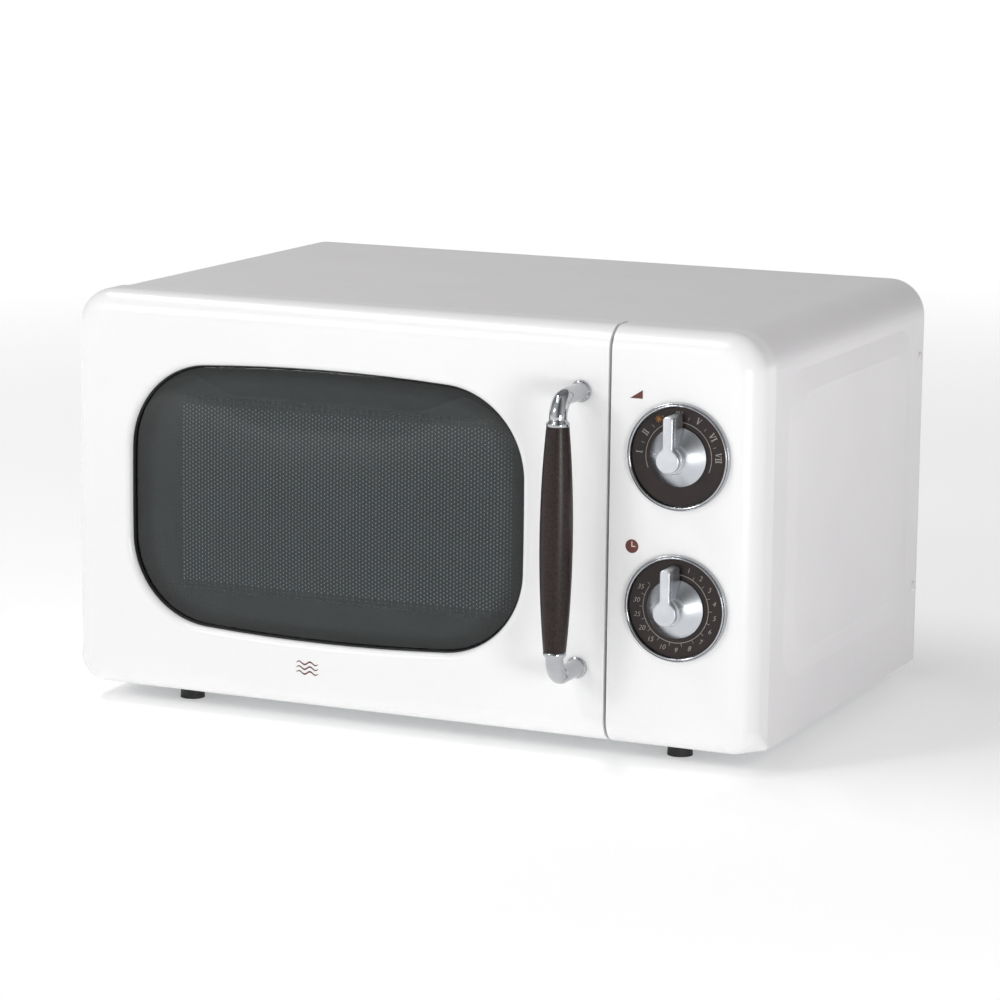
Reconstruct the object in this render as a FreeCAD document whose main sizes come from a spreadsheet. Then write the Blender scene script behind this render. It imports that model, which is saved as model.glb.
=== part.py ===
"""Countertop microwave oven with a side-hinged door, two dials and a turntable.

FreeCAD 1.1 macro, in millimetres.  +Z is up, the door faces -Y, and the origin is
the middle of the whole oven's footprint, on the plane that the feet stand on.
Every size is a cell of the sheet "dims", and every sub-part is bound to those cells.
"""
import FreeCAD, Part
import math
import os
import re

import Sketcher
from FreeCAD import Placement, Rotation, Vector

SIZES = {
    # whole oven
    "body_width": 454.0, "body_height": 250.0, "cabinet_depth": 276.0, "bezel_depth": 30.0,
    "door_gap": 1.2, "foot_height": 12.0, "sheet_wall": 1.0, "running_fit": 0.05,
    "part_gap": 0.3, "assembly_gap": 0.4,
    # rounded plastic front, split into the door and the control panel
    "bezel_corner": 24.0, "bezel_low_corner": 28.0, "bezel_seam_corner": 3.0,
    "front_round": 15.0, "least_round": 0.5, "shell_wall": 2.5, "panel_width": 92.5,
    "split_gap": 2.0,
    "rim_wall": 3.0, "rim_depth": 8.0, "rim_round": 4.0,
    # window in the door
    "window_left_margin": 40.9, "window_right_margin": 54.0, "window_low_margin": 41.3,
    "window_top_margin": 39.7, "window_side_radius": 2400.0, "window_top_radius": 1200.0,
    "window_corner": 54.6, "pane_gap": 0.8, "pane_setback": 1.5, "pane_flange": 7.0,
    "pane_wall": 2.5,
    # door inside
    "screen_place": 13.0, "screen_wall": 0.6, "inner_plate_place": 14.0, "choke_depth": 10.0,
    "choke_width": 8.0, "seal_margin": 10.0, "choke_cover_depth": 2.3, "choke_corner": 11.0,
    "film_wall": 0.5, "screen_margin": 14.0, "plate_corner": 12.0,
    # door hinges
    "hinge_inset": 5.0, "hinge_setback": 8.0, "pin_radius": 2.5, "arm_wall": 3.0,
    "arm_half": 4.5, "pin_length": 4.0, "hinge_low": 8.0, "hinge_drop": 26.0,
    "swing_room": 1.8, "hinge_plate_width": 16.0, "hinge_plate_height": 30.0,
    "boss_half": 5.5, "boss_height": 6.0,
    # door handle
    "handle_inset": 18.0, "handle_low": 45.3, "handle_drop": 39.1, "handle_standoff": 34.0,
    "tube_radius": 5.3, "bend_radius": 11.5, "flange_radius": 6.6, "flange_wall": 2.6,
    "collar_radius": 6.9, "collar_band": 2.0, "collar_flare": 2.6, "grip_end_radius": 6.8,
    "grip_radius": 9.8, "handle_screw_radius": 2.0, "screw_head_radius": 3.8,
    "handle_screw_length": 12.0,
    # latch
    "hook_inset": 16.5, "hook_wall": 3.0, "hook_reach": 15.0, "hook_height": 11.0,
    "hook_low": 72.0, "hook_drop": 50.0, "hook_nose": 4.0, "latch_travel": 4.0,
    "carrier_width": 9.0, "carrier_wall": 2.4, "spring_radius": 2.4, "spring_wire": 0.6,
    "spring_turns": 6.0, "seat_wall": 2.0, "spring_length": 16.0, "latch_board_width": 22.0,
    "latch_board_depth": 26.0, "switch_width": 10.5, "switch_depth": 16.0,
    "switch_height": 28.0, "plunger_size": 2.0,
    # dials on the control panel
    "dial_inset": 48.1, "dial_pitch": 89.9, "dial_offset": 6.95, "dial_radius": 32.0,
    "dial_ring": 2.6, "dial_rise": 3.6, "face_wall": 1.2, "knob_skirt_radius": 17.7,
    "knob_cone": 8.5, "knob_neck_radius": 8.2, "knob_head_radius": 7.2, "knob_rise": 18.5,
    "fin_width": 6.2, "fin_length": 26.0, "shaft_radius": 3.0, "shaft_hole": 4.5,
    "timer_box": 52.0, "timer_depth": 40.0, "power_box_width": 44.0, "power_box_height": 36.0,
    "power_depth": 26.0, "control_mount": 6.0,
    # cabinet shell
    "cover_inset": 1.0, "cover_corner": 23.0, "lip_width": 9.0, "emboss_rise": 2.0,
    "emboss_slope": 14.0, "emboss_front": 24.0, "emboss_rear": 24.0, "emboss_low": 36.0,
    "emboss_drop": 28.0, "emboss_corner": 22.0, "rear_setback": 1.5, "rear_flange": 10.0,
    "rear_corner": 6.0, "vent_length": 34.0, "vent_width": 3.2, "vent_pitch": 7.0,
    "base_wall": 1.2, "foot_inset": 61.0, "foot_setback": 14.0, "foot_radius": 7.8,
    "foot_top_radius": 7.0, "foot_stem_radius": 3.0, "foot_stem": 4.0,
    "cover_screw_radius": 1.9, "cover_screw_head": 3.6, "cover_screw_length": 9.0,
    # cooking cavity
    "cavity_margin": 24.0, "cavity_inset": 37.5, "cavity_headroom": 22.0,
    "cavity_rear_gap": 9.5, "cavity_rise": 22.0, "cavity_corner": 9.0, "frame_setback": 0.5,
    "shaft_hole_radius": 7.0, "duct_width": 70.0, "duct_height": 80.0, "duct_depth": 20.0,
    "duct_place": 105.0, "duct_rise": 120.0, "port_width": 50.0, "port_height": 56.0,
    "mica_wall": 0.5, "mica_margin": 8.0,
    # turntable
    "tray_clearance": 10.0, "tray_wall": 5.0, "tray_rim": 12.0, "tray_rim_slope": 8.0,
    "tray_lug_radius": 25.0, "tray_lug_size": 4.0, "tray_lug_drop": 4.0,
    "hub_radius": 11.0, "hub_arm_length": 29.0, "hub_arm_width": 8.0, "hub_arm_wall": 9.0,
    "drive_radius": 3.5, "ring_radius": 86.0, "ring_width": 8.0, "ring_wall": 5.0,
    "roller_radius": 7.0, "roller_width": 6.0, "roller_track": 97.0, "axle_radius": 1.5,
    "axle_head_radius": 2.3, "motor_radius": 24.0, "motor_height": 14.0,
    # microwave supply
    "yoke_length": 56.0, "yoke_width": 78.0, "yoke_height": 66.0, "yoke_wall": 1.5,
    "tube_core_radius": 19.0, "fin_count": 6, "cooling_fin": 0.8, "magnet_radius": 27.0,
    "magnet_wall": 11.0, "antenna_radius": 7.5, "antenna_length": 16.0, "filter_box": 22.0,
    "core_width": 86.0, "core_depth": 60.0, "core_height": 74.0, "core_leg": 14.0,
    "coil_bulge": 14.0, "supply_inset": 62.0, "transformer_setback": 50.0,
    "capacitor_width": 92.0, "capacitor_depth": 32.0, "capacitor_height": 52.0,
    "capacitor_setback": 130.0, "diode_radius": 3.2, "diode_length": 16.0,
    # cooling fan
    "fan_size": 92.0, "fan_depth": 24.0, "fan_ring_radius": 42.0,
    "fan_blade_radius": 39.0, "fan_hub_radius": 11.0, "blade_count": 5, "blade_chord": 24.0,
    "blade_wall": 1.6, "blade_pitch": 32.0, "fan_shaft_radius": 2.0, "fan_motor_width": 50.0,
    "fan_motor_height": 44.0, "fan_motor_depth": 26.0,
    # lamp, filter board and cord inlet
    "lamp_radius": 11.0, "lamp_length": 34.0, "lamp_drop": 36.0, "lamp_place": 60.0,
    "board_width": 84.0, "board_height": 34.0, "board_wall": 1.6, "board_drop": 34.0,
    "board_gap": 5.0,
    "inlet_radius": 9.0, "inlet_bore": 4.2, "inlet_flange": 12.0, "inlet_level": 34.0,
}

DERIVED = {
    # planes across the oven, from front to back
    "seam": "(bezel_depth + handle_standoff + grip_radius - cabinet_depth) / 2",
    "front": "seam - bezel_depth",
    "bezel_back": "seam - door_gap",
    "frame_face": "seam + frame_setback",
    "cavity_face": "frame_face + sheet_wall",
    "rear": "seam + cabinet_depth",
    "rear_plate": "rear - rear_setback - sheet_wall",
    # planes up the oven
    "body_low": "foot_height",
    "body_top": "foot_height + body_height",
    "cover_low": "foot_height",
    "cover_top": "body_top - cover_inset",
    "base_low": "cover_low + sheet_wall",
    "base_top": "base_low + base_wall",
    "cavity_floor": "body_low + cavity_rise",
    "cavity_roof": "body_top - cavity_headroom",
    # planes to the sides
    "half_width": "body_width / 2",
    "cover_side": "half_width - cover_inset",
    "inner_side": "cover_side - sheet_wall",
    "split_place": "half_width - panel_width",
    "door_right": "split_place - split_gap / 2",
    "panel_left": "split_place + split_gap / 2",
    "dial_place": "half_width - dial_inset",
    "handle_place": "split_place - handle_inset",
    "hook_place": "split_place - hook_inset",
    "supply_place": "half_width - supply_inset",
    # window
    "window_place": "(door_right - window_right_margin + window_left_margin - half_width) / 2",
    "window_half_width": "(door_right - window_right_margin - window_left_margin "
                         "+ half_width) / 2",
    "window_z": "body_low + (body_height + window_low_margin - window_top_margin) / 2",
    "window_half_height": "(body_height - window_low_margin - window_top_margin) / 2",
    # cavity
    "cavity_left": "cavity_margin - half_width",
    "cavity_right": "split_place - cavity_inset",
    "cavity_place": "(cavity_left + cavity_right) / 2",
    "cavity_width": "cavity_right - cavity_left",
    "cavity_depth": "cabinet_depth - frame_setback - sheet_wall - cavity_rear_gap",
    "tray_radius": "min(cavity_width, cavity_depth) / 2 - tray_clearance",
    # axes and levels
    "hinge_x": "hinge_inset - half_width",
    "hinge_y": "seam - hinge_setback",
    "hinge_low_z": "body_low + hinge_low",
    "hinge_high_z": "body_top - hinge_drop",
    "hook_low_z": "body_low + hook_low",
    "hook_high_z": "body_top - hook_drop",
    "table_y": "cavity_face + cavity_depth / 2",
    "dials_z": "body_low + body_height / 2 + dial_offset",
    "power_z": "dials_z + dial_pitch / 2",
    "timer_z": "dials_z - dial_pitch / 2",
    "handle_top": "body_top - handle_drop",
    "handle_foot": "body_low + handle_low",
    "bar_y": "front - handle_standoff",
    "tray_under": "cavity_floor + 2 * part_gap + 2 * roller_radius",
    "duct_y": "cavity_face + duct_place",
    "duct_z": "body_low + duct_rise",
    "board_z": "body_top - board_drop",
    "lamp_z": "body_top - lamp_drop",
    "fan_y": "rear_plate - fan_depth - part_gap",
    "fan_z": "board_z - board_height / 2 - board_gap - fan_size / 2",
    "choke_y": "front + inner_plate_place + choke_depth",
    "carrier_y": "choke_y - part_gap - carrier_wall",
    "spring_y": "choke_y - part_gap - spring_radius - spring_wire",
    "spring_low": "hook_high_z + hook_height + latch_travel + part_gap",
}

PARTS = []
DOC = FreeCAD.newDocument("microwave_oven")
DIMS = DOC.addObject("Spreadsheet::Sheet", "dims")

TURNS = {
    "z": Rotation(),
    "-z": Rotation(Vector(1, 0, 0), 180),
    "x": Rotation(Vector(0, 1, 0), 90),
    "-x": Rotation(Vector(0, 1, 0), -90),
    "y": Rotation(Vector(1, 0, 0), -90),
    "-y": Rotation(Vector(1, 0, 0), 90),
}


# ---------------------------------------------------------------- size rules

def fill_sheet():
    """Write the driving sizes into the sheet, one row each, and name the cells."""
    for row, (name, size) in enumerate(SIZES.items(), start=1):
        DIMS.set(f"A{row}", name)
        DIMS.set(f"B{row}", str(size))
        DIMS.setAlias(f"B{row}", name)
    DOC.recompute()


def formula(rule):
    """Spell a size rule with the sheet's aliases and the derived planes."""
    def spelled(match):
        word = match.group(0)
        if word in DERIVED:
            return "(" + formula(DERIVED[word]) + ")"
        return "dims." + word if word in SIZES else word
    return re.sub(r"[A-Za-z_]+", spelled, str(rule))


def size_of(rule):
    """The present value of a size rule."""
    return float(DIMS.evalExpression(formula(rule)))


# ---------------------------------------------------------------- primitives

def place(thing, at, turn=None):
    """Turn a piece, and bind its place to three size rules."""
    if turn is not None:
        thing.Placement = Placement(Vector(), turn)
    for axis, rule in zip("xyz", at):
        thing.setExpression("Placement.Base." + axis, formula(rule))
    return thing


def primitive(kind, name, sizes, at, turn=None):
    """A Part primitive whose sizes and place are size rules."""
    thing = DOC.addObject("Part::" + kind, name)
    for key, rule in sizes.items():
        thing.setExpression(key, formula(rule))
    return place(thing, at, turn)


def box(name, size, low):
    """A box from its three sizes and its low corner."""
    return primitive("Box", name, dict(zip(("Length", "Width", "Height"), size)), low)


def block(name, size, middle):
    """A box from its three sizes and its middle."""
    low = [f"({m}) - ({s}) / 2" for m, s in zip(middle, size)]
    return box(name, size, low)


def cylinder(name, radius, length, foot, axis="z"):
    """A cylinder from its radius, its length and its foot, along a signed axis."""
    return primitive("Cylinder", name, {"Radius": radius, "Height": length}, foot, TURNS[axis])


def elbow(name, bend, radius, centre, turn):
    """A quarter of a torus, for a bent tube."""
    sizes = {"Radius1": bend, "Radius2": radius, "Angle3": "90"}
    return primitive("Torus", name, sizes, centre, turn)


def fuse(name, *pieces):
    """One solid from several touching pieces."""
    thing = DOC.addObject("Part::MultiFuse", name)
    thing.Shapes = list(pieces)
    thing.Refine = True
    return thing


def group(name, *pieces):
    """Several separate solids as one object."""
    thing = DOC.addObject("Part::Compound", name)
    thing.Links = list(pieces)
    return thing


def common(name, *pieces):
    """What several pieces share."""
    thing = DOC.addObject("Part::MultiCommon", name)
    thing.Shapes = list(pieces)
    return thing


def cut(name, base, *tools):
    """A piece with other pieces taken out of it."""
    thing = DOC.addObject("Part::Cut", name)
    thing.Base = base
    thing.Tool = tools[0] if len(tools) == 1 else group(name + "_tools", *tools)
    return thing


def mirrored(name, source):
    """A copy of a piece on the other side of the oven's middle plane."""
    thing = DOC.addObject("Part::Mirroring", name)
    thing.Source = source
    thing.Normal = Vector(1, 0, 0)
    return thing


# ---------------------------------------------------------------- edges

def along(axis):
    """Choose straight edges that run along one axis."""
    def chosen(edge):
        if len(edge.Vertexes) != 2 or edge.Curve.TypeId != "Part::GeomLine":
            return False
        run = edge.Vertexes[1].Point - edge.Vertexes[0].Point
        return abs(getattr(run, axis)) > 0.99 * run.Length
    return chosen


def on_plane(axis, rule):
    """Choose edges that lie wholly on one plane."""
    def chosen(edge):
        level = size_of(rule)
        low = getattr(edge.BoundBox, axis.upper() + "Min")
        high = getattr(edge.BoundBox, axis.upper() + "Max")
        return abs(low - level) < 1e-3 and abs(high - level) < 1e-3
    return chosen


def both(*tests):
    """Choose edges that pass every test."""
    return lambda edge: all(test(edge) for test in tests)


def rounded(name, base, radius, chosen):
    """Round the chosen edges of a piece."""
    DOC.recompute()
    reach = size_of(radius)
    thing = DOC.addObject("Part::Fillet", name)
    thing.Base = base
    numbered = enumerate(base.Shape.Edges, start=1)
    thing.Edges = [(number, reach, reach) for number, edge in numbered if chosen(edge)]
    return thing


# ---------------------------------------------------------------- sketched bodies

def turned_corner(before, corner, after, radius):
    """Where an arc of one radius leaves and meets the two sides of a corner."""
    back = (before - corner).normalize()
    ahead = (after - corner).normalize()
    half = back.getAngle(ahead) / 2
    reach = radius / math.tan(half)
    bisector = (back + ahead).normalize()
    centre = corner + bisector * (radius / math.sin(half))
    return corner + back * reach, centre - bisector * radius, corner + ahead * reach


def fixed(sketch, item, vertex, rules):
    """Tie one sketch point to the sketch's origin with two size rules."""
    for kind, rule in zip(("DistanceX", "DistanceY"), rules):
        tie = Sketcher.Constraint(kind, -1, 1, item, vertex, size_of(rule))
        number = sketch.addConstraint(tie)
        sketch.setExpression(f"Constraints[{number}]", formula(rule))


def tied_radius(sketch, item, rule):
    """Tie an arc's radius to a size rule."""
    number = sketch.addConstraint(Sketcher.Constraint("Radius", item, size_of(rule)))
    sketch.setExpression(f"Constraints[{number}]", formula(rule))


def bulge_middle(start, end, radius):
    """The middle of an arc from start to end that bulges to the right of its travel."""
    chord = end - start
    sag = radius - math.sqrt(radius ** 2 - (chord.Length / 2) ** 2)
    outward = Vector(chord.y, -chord.x, 0).normalize()
    return (start + end) / 2 + outward * sag


def add_arc(sketch, start, middle, end):
    """Add an arc, anticlockwise, and tell which of its ends come first and last."""
    clockwise = (middle - start).cross(end - middle).z < 0
    if clockwise:
        start, end = end, start
    item = sketch.addGeometry(Part.Arc(start, middle, end))
    return (item, 2, 1) if clockwise else (item, 1, 2)


def outline(body, name, plane, corners, offset=None):
    """Sketch a closed outline, anticlockwise.

    A corner is (u, v), (u, v, "round", radius) for a rounded corner, or
    (u, v, "bulge", radius) where the side that starts there is an arc.
    """
    sketch = body.newObject("Sketcher::SketchObject", name)
    role = [item for item in body.Origin.OriginFeatures if item.Role == plane][0]
    sketch.AttachmentSupport = [(role, "")]
    sketch.MapMode = "FlatFace"
    if offset is not None:
        sketch.setExpression("AttachmentOffset.Base.z", formula(offset))
    count = len(corners)
    points = [Vector(size_of(corner[0]), size_of(corner[1]), 0) for corner in corners]
    round_by = [corner[3] if len(corner) > 2 and corner[2] == "round" else None
                for corner in corners]
    bulge_by = [corner[3] if len(corner) > 2 and corner[2] == "bulge" else None
                for corner in corners]
    starts, ends, arcs = list(points), list(points), {}
    for index, radius in enumerate(round_by):
        if radius is None:
            continue
        before, after = points[index - 1], points[(index + 1) % count]
        arcs[index] = turned_corner(before, points[index], after, size_of(radius))
        ends[index], starts[index] = arcs[index][0], arcs[index][2]
    sides = []
    for index in range(count):
        start, end = starts[index], ends[(index + 1) % count]
        if bulge_by[index] is None:
            sides.append((sketch.addGeometry(Part.LineSegment(start, end)), 1, 2))
        else:
            middle = bulge_middle(start, end, size_of(bulge_by[index]))
            sides.append(add_arc(sketch, start, middle, end))
            tied_radius(sketch, sides[-1][0], bulge_by[index])
    for index in range(count):
        (before, _, last), (side, first, _) = sides[index - 1], sides[index]
        if index not in arcs:
            joint = Sketcher.Constraint("Coincident", before, last, side, first)
            sketch.addConstraint(joint)
            fixed(sketch, side, first, corners[index][:2])
            continue
        knuckle = sketch.addGeometry(Part.Point(points[index]), True)
        fixed(sketch, knuckle, 1, corners[index][:2])
        for line in (before, side):
            sketch.addConstraint(Sketcher.Constraint("PointOnObject", knuckle, 1, line))
        corner, meet, leave = add_arc(sketch, *arcs[index])
        sketch.addConstraint(Sketcher.Constraint("Tangent", before, last, corner, meet))
        sketch.addConstraint(Sketcher.Constraint("Tangent", side, first, corner, leave))
        tied_radius(sketch, corner, round_by[index])
    return sketch


def new_body(name):
    """An empty PartDesign body."""
    return DOC.addObject("PartDesign::Body", name)


def slab(name, plane, corners, length, at, turn=None):
    """A padded outline.  It grows along +Z, +Y or +X from the XY, XZ or YZ plane."""
    body = new_body(name)
    sketch = outline(body, name + "_outline", plane + "_Plane", corners)
    pad = body.newObject("PartDesign::Pad", name + "_pad")
    pad.Profile = sketch
    pad.Reversed = plane == "XZ"
    pad.setExpression("Length", formula(length))
    sketch.Visibility = False
    return place(body, at, turn)


def turned(name, corners, at, axis="z"):
    """An outline of (radius, height) corners turned about a signed axis."""
    body = new_body(name)
    sketch = outline(body, name + "_outline", "XZ_Plane", corners)
    spin = body.newObject("PartDesign::Revolution", name + "_turn")
    spin.Profile = sketch
    spin.ReferenceAxis = (sketch, ["V_Axis"])
    spin.Angle = 360.0
    sketch.Visibility = False
    return place(body, at, TURNS[axis])


def rectangle(left, low, right, high, *radii):
    """Corners of a rectangle, rounded by one radius or by four from low left round."""
    corners = [(left, low), (right, low), (right, high), (left, high)]
    if not radii:
        return corners
    radii = radii * 4 if len(radii) == 1 else radii
    return [corner + ("round", radius) for corner, radius in zip(corners, radii)]


def ring(name, inner, outer, wall, foot, axis="z"):
    """A flat ring from its two radii."""
    disc = cylinder(name + "_disc", outer, wall, foot, axis)
    return cut(name + "_ring", disc, cylinder(name + "_hole", inner, wall, foot, axis))


def publish(name, thing):
    """Keep a finished sub-part under its node's name."""
    thing.Label = name
    PARTS.append(thing)
    return thing


# ---------------------------------------------------------------- plastic front

def bezel_solid(name, inset):
    """The rounded front, drawn inward by inset: sharp low corners at the seam only."""
    body = new_body(name)
    side = f"half_width - {inset}"
    low, high = f"body_low + {inset}", f"body_top - {inset}"
    sketches = []
    for tag, low_corner, setback in (("seam", "bezel_seam_corner", "-(bezel_back)"),
                                     ("front", "bezel_low_corner", f"-(front + {inset})")):
        radii = [f"max({low_corner} - {inset}, least_round)"] * 2
        radii += [f"bezel_corner - {inset}"] * 2
        corners = rectangle(f"-({side})", low, side, high, *radii)
        sketches.append(outline(body, f"{name}_{tag}", "XZ_Plane", corners, setback))
    loft = body.newObject("PartDesign::AdditiveLoft", name + "_loft")
    loft.Profile = sketches[0]
    loft.Sections = sketches[1:]
    loft.Ruled = True
    return rounded(name + "_rounded", body, f"front_round - {inset}",
                   on_plane("y", f"front + {inset}"))


def window_solid(name, grow, low, depth):
    """A prism with the window's outline: four shallow arcs and four round corners."""
    discs = []
    for tag, side in (("top", 1), ("low", -1)):
        radius = f"window_top_radius + {grow}"
        level = f"window_z + ({side}) * (window_half_height - window_top_radius)"
        foot = ("window_place", low, level)
        discs.append(cylinder(f"{name}_{tag}", radius, depth, foot, "y"))
    for tag, side in (("right", 1), ("left", -1)):
        radius = f"window_side_radius + {grow}"
        middle = f"window_place + ({side}) * (window_half_width - window_side_radius)"
        discs.append(cylinder(f"{name}_{tag}", radius, depth, (middle, low, "window_z"), "y"))
    lens = common(name + "_lens", *discs)
    return rounded(name, lens, f"window_corner + {grow}", along("y"))


def door_outer_frame(blank, hollow):
    """The door's white shell, with the window's rim, hinge bosses and notches."""
    far = "body_width"
    half_blank = common("door_blank", blank, box(
        "door_side", (far, far, far), ("door_right - body_width", "front - 1", "0")))
    half_hollow = common("door_hollow", hollow, box(
        "door_hollow_side", (far, far, far),
        ("door_right - shell_wall - body_width", "front - 1", "0")))
    back = box("door_open_back", (far, "1", far), ("-half_width", "bezel_back", "0"))
    shell = cut("door_shell", half_blank, half_hollow, back)
    rim = window_solid("door_rim", "rim_wall", "front + shell_wall", "rim_depth - shell_wall")
    bosses = []
    for tag, low in (("low", "hinge_low_z - part_gap - boss_height - assembly_gap"),
                     ("high", "hinge_high_z + arm_wall + part_gap + assembly_gap")):
        size = ("2 * boss_half", "2 * boss_half", "boss_height")
        low_corner = ("hinge_x - boss_half", "hinge_y - boss_half", low)
        bosses.append(common(f"hinge_boss_{tag}", half_blank,
                             box(f"hinge_boss_block_{tag}", size, low_corner)))
    seat = box("spring_seat", ("door_right - hook_place + spring_radius",
                               "2 * (spring_radius + spring_wire)", "seat_wall"),
               ("hook_place - spring_radius - shell_wall / 2", "spring_y - spring_radius - spring_wire",
                "spring_low + spring_length + part_gap"))
    body = fuse("door_body", shell, rim, seat, *bosses)
    tools = [window_solid("window_hole", "0", "front - 1", "rim_depth + 2")]
    for tag, level in (("low", "hinge_low_z"), ("high", "hinge_high_z")):
        notch = ("2 * arm_half + hinge_inset", "hinge_setback + arm_half + swing_room",
                 "arm_wall + 2 * (part_gap + assembly_gap)")
        corner = ("-half_width - 1", "hinge_y - arm_half - swing_room",
                  f"{level} - part_gap - assembly_gap")
        tools.append(box(f"hinge_notch_{tag}", notch, corner))
    pin_low = "hinge_low_z - pin_length - assembly_gap - part_gap"
    pin_span = ("hinge_high_z - hinge_low_z + arm_wall + "
                "2 * (pin_length + assembly_gap + part_gap)")
    tools.append(cylinder("hinge_bore", "pin_radius + running_fit", pin_span,
                          ("hinge_x", "hinge_y", pin_low)))
    for tag, level in (("low", "handle_foot"), ("high", "handle_top")):
        tools.append(cylinder(f"handle_screw_hole_{tag}", "handle_screw_radius + part_gap",
                              "shell_wall + 2", ("handle_place", "front - 1", level), "y"))
    body = cut("door_cut", body, *tools)
    lip = both(on_plane("y", "front"), inside_window)
    publish("door_outer_frame", rounded("door_lip", body, "rim_round", lip))


def inside_window(edge):
    """Choose edges that belong to the window's opening."""
    reach = edge.BoundBox
    near_x = max(abs(reach.XMin - size_of("window_place")), abs(reach.XMax - size_of("window_place")))
    near_z = max(abs(reach.ZMin - size_of("window_z")), abs(reach.ZMax - size_of("window_z")))
    return near_x < size_of("window_half_width + 1") and near_z < size_of("window_half_height + 1")


def door_window():
    """The tinted pane, which stands in the rim on a flange behind it."""
    seat = "front + rim_depth"
    pane = window_solid("pane_front", "-pane_gap", "front + pane_setback",
                        "rim_depth - pane_setback")
    flange = window_solid("pane_back", "pane_flange", seat, "pane_wall")
    publish("door_window", fuse("pane", pane, flange))


def plate_rules(margin):
    """Left, low, right and high of a door plate that laps the cavity by a margin."""
    return (f"cavity_left - {margin}", f"cavity_floor - {margin}",
            f"cavity_right + {margin}", f"cavity_roof + {margin}")


def door_screen():
    """The thin perforated sheet behind the pane: its holes are left to the visual model."""
    corners = rectangle(*plate_rules("-screen_margin"), "plate_corner")
    publish("door_screen", slab("screen", "XZ", corners, "screen_wall",
                                ("0", "front + screen_place", "0")))


def door_inner_plate():
    """The steel plate that closes the cavity, with a deep channel round its edge."""
    place_y = "front + inner_plate_place"
    whole = slab("plate_blank", "XZ", rectangle(*plate_rules("seal_margin"), "plate_corner"),
                 "choke_depth", ("0", place_y, "0"))
    dish = slab("plate_dish", "XZ",
                rectangle(*plate_rules("seal_margin - sheet_wall"), "plate_corner - sheet_wall"),
                "choke_depth", ("0", f"{place_y} + sheet_wall", "0"))
    inner_wall = slab("plate_wall", "XZ", rectangle(*plate_rules("-choke_width"), "plate_corner"),
                      "choke_depth", ("0", place_y, "0"))
    inner_dish = slab("plate_wall_dish", "XZ",
                      rectangle(*plate_rules("-choke_width - sheet_wall"), "plate_corner"),
                      "choke_depth", ("0", f"{place_y} + sheet_wall", "0"))
    opening = slab("plate_opening", "XZ", rectangle(*plate_rules("-2 * screen_margin"),
                                                    "plate_corner"),
                   "choke_depth", ("0", f"{place_y} - 1", "0"))
    channel = cut("plate_channel", whole, dish)
    collar = cut("plate_collar", inner_wall, inner_dish)
    publish("door_inner_plate", cut("plate", fuse("plate_pressing", channel, collar), opening))


def door_choke_cover():
    """The black plastic back of the door, with its opening and two slots for the hooks."""
    gap = "part_gap"
    blank = slab("choke_blank", "XZ",
                 rectangle("cavity_left - seal_margin", f"body_low + shell_wall + {gap}",
                           f"door_right - shell_wall - {gap}",
                           f"body_top - shell_wall - {gap}", "choke_corner"),
                 "choke_cover_depth", ("0", "choke_y", "0"))
    inner = slab("choke_opening", "XZ", rectangle(*plate_rules("-choke_width - 3 * sheet_wall"),
                                                  "plate_corner"),
                 "choke_cover_depth", ("0", "choke_y", "0"))
    slots = [block(f"choke_slot_{tag}", (f"hook_wall + 2 * {gap}", "2 * choke_cover_depth + 2",
                                         "hook_height + 2 * hook_nose + 2 * latch_travel"),
                   ("hook_place", "choke_y", level))
             for tag, level in (("low", "hook_low_z"), ("high", "hook_high_z"))]
    publish("door_choke_cover", cut("choke_cover", blank, inner, *slots))


def door_film():
    """The clear sheet over the inner plate's opening, on the cavity's side."""
    place_y = "front + inner_plate_place + sheet_wall"
    corners = rectangle(*plate_rules("-screen_margin - choke_width"), "plate_corner")
    publish("door_film", slab("film", "XZ", corners, "film_wall", ("0", place_y, "0")))


# ---------------------------------------------------------------- handle and latch

def handle_bracket(name, level, side):
    """A chrome elbow from its wall flange to the grip.  side is 1 above and -1 below."""
    run = "handle_standoff - bend_radius"
    bend_z = f"{level} - ({side}) * bend_radius"
    turn = Rotation(Vector(0, 0, side), Vector(0, -1, 0), Vector(side, 0, 0), "ZXY")
    collar = [("0", "0"), ("collar_radius", "0"), ("collar_radius", "collar_band"),
              ("tube_radius", "collar_band + collar_flare"), ("0", "collar_band + collar_flare")]
    flange = [("0", "0"), ("flange_radius", "0"), ("flange_radius", "flange_wall", "round", "0.8"),
              ("tube_radius", "flange_wall"), ("0", "flange_wall")]
    axis = "z" if side > 0 else "-z"
    body = fuse(f"{name}_body",
                turned(f"{name}_flange", flange, ("handle_place", "front", level), "-y"),
                cylinder(f"{name}_arm", "tube_radius", run, ("handle_place", "front", level), "-y"),
                elbow(f"{name}_bend", "bend_radius", "tube_radius",
                      ("handle_place", "bar_y + bend_radius", bend_z), turn),
                turned(f"{name}_collar", collar,
                       ("handle_place", "bar_y", f"{bend_z} - ({side}) * "
                        "(collar_band + collar_flare)"), axis))
    screw = cylinder(f"{name}_thread", "handle_screw_radius + running_fit",
                     "handle_screw_length - shell_wall",
                     ("handle_place", "front", level), "-y")
    publish(name, cut(f"{name}_tapped", body, screw))


def handle_grip():
    """The barrel-shaped grip between the two collars."""
    drop = "bend_radius + collar_band + collar_flare"
    half = f"((handle_top - handle_foot) / 2 - ({drop}))"
    swell = "(grip_radius - grip_end_radius)"
    arc = f"(({half}) ^ 2 + {swell} ^ 2) / (2 * {swell})"
    corners = [("0", f"-{half}"), ("grip_end_radius", f"-{half}", "bulge", arc),
               ("grip_end_radius", half), ("0", half)]
    middle = "(handle_top + handle_foot) / 2"
    publish("handle_grip", turned("grip", corners, ("handle_place", "bar_y", middle)))


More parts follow.
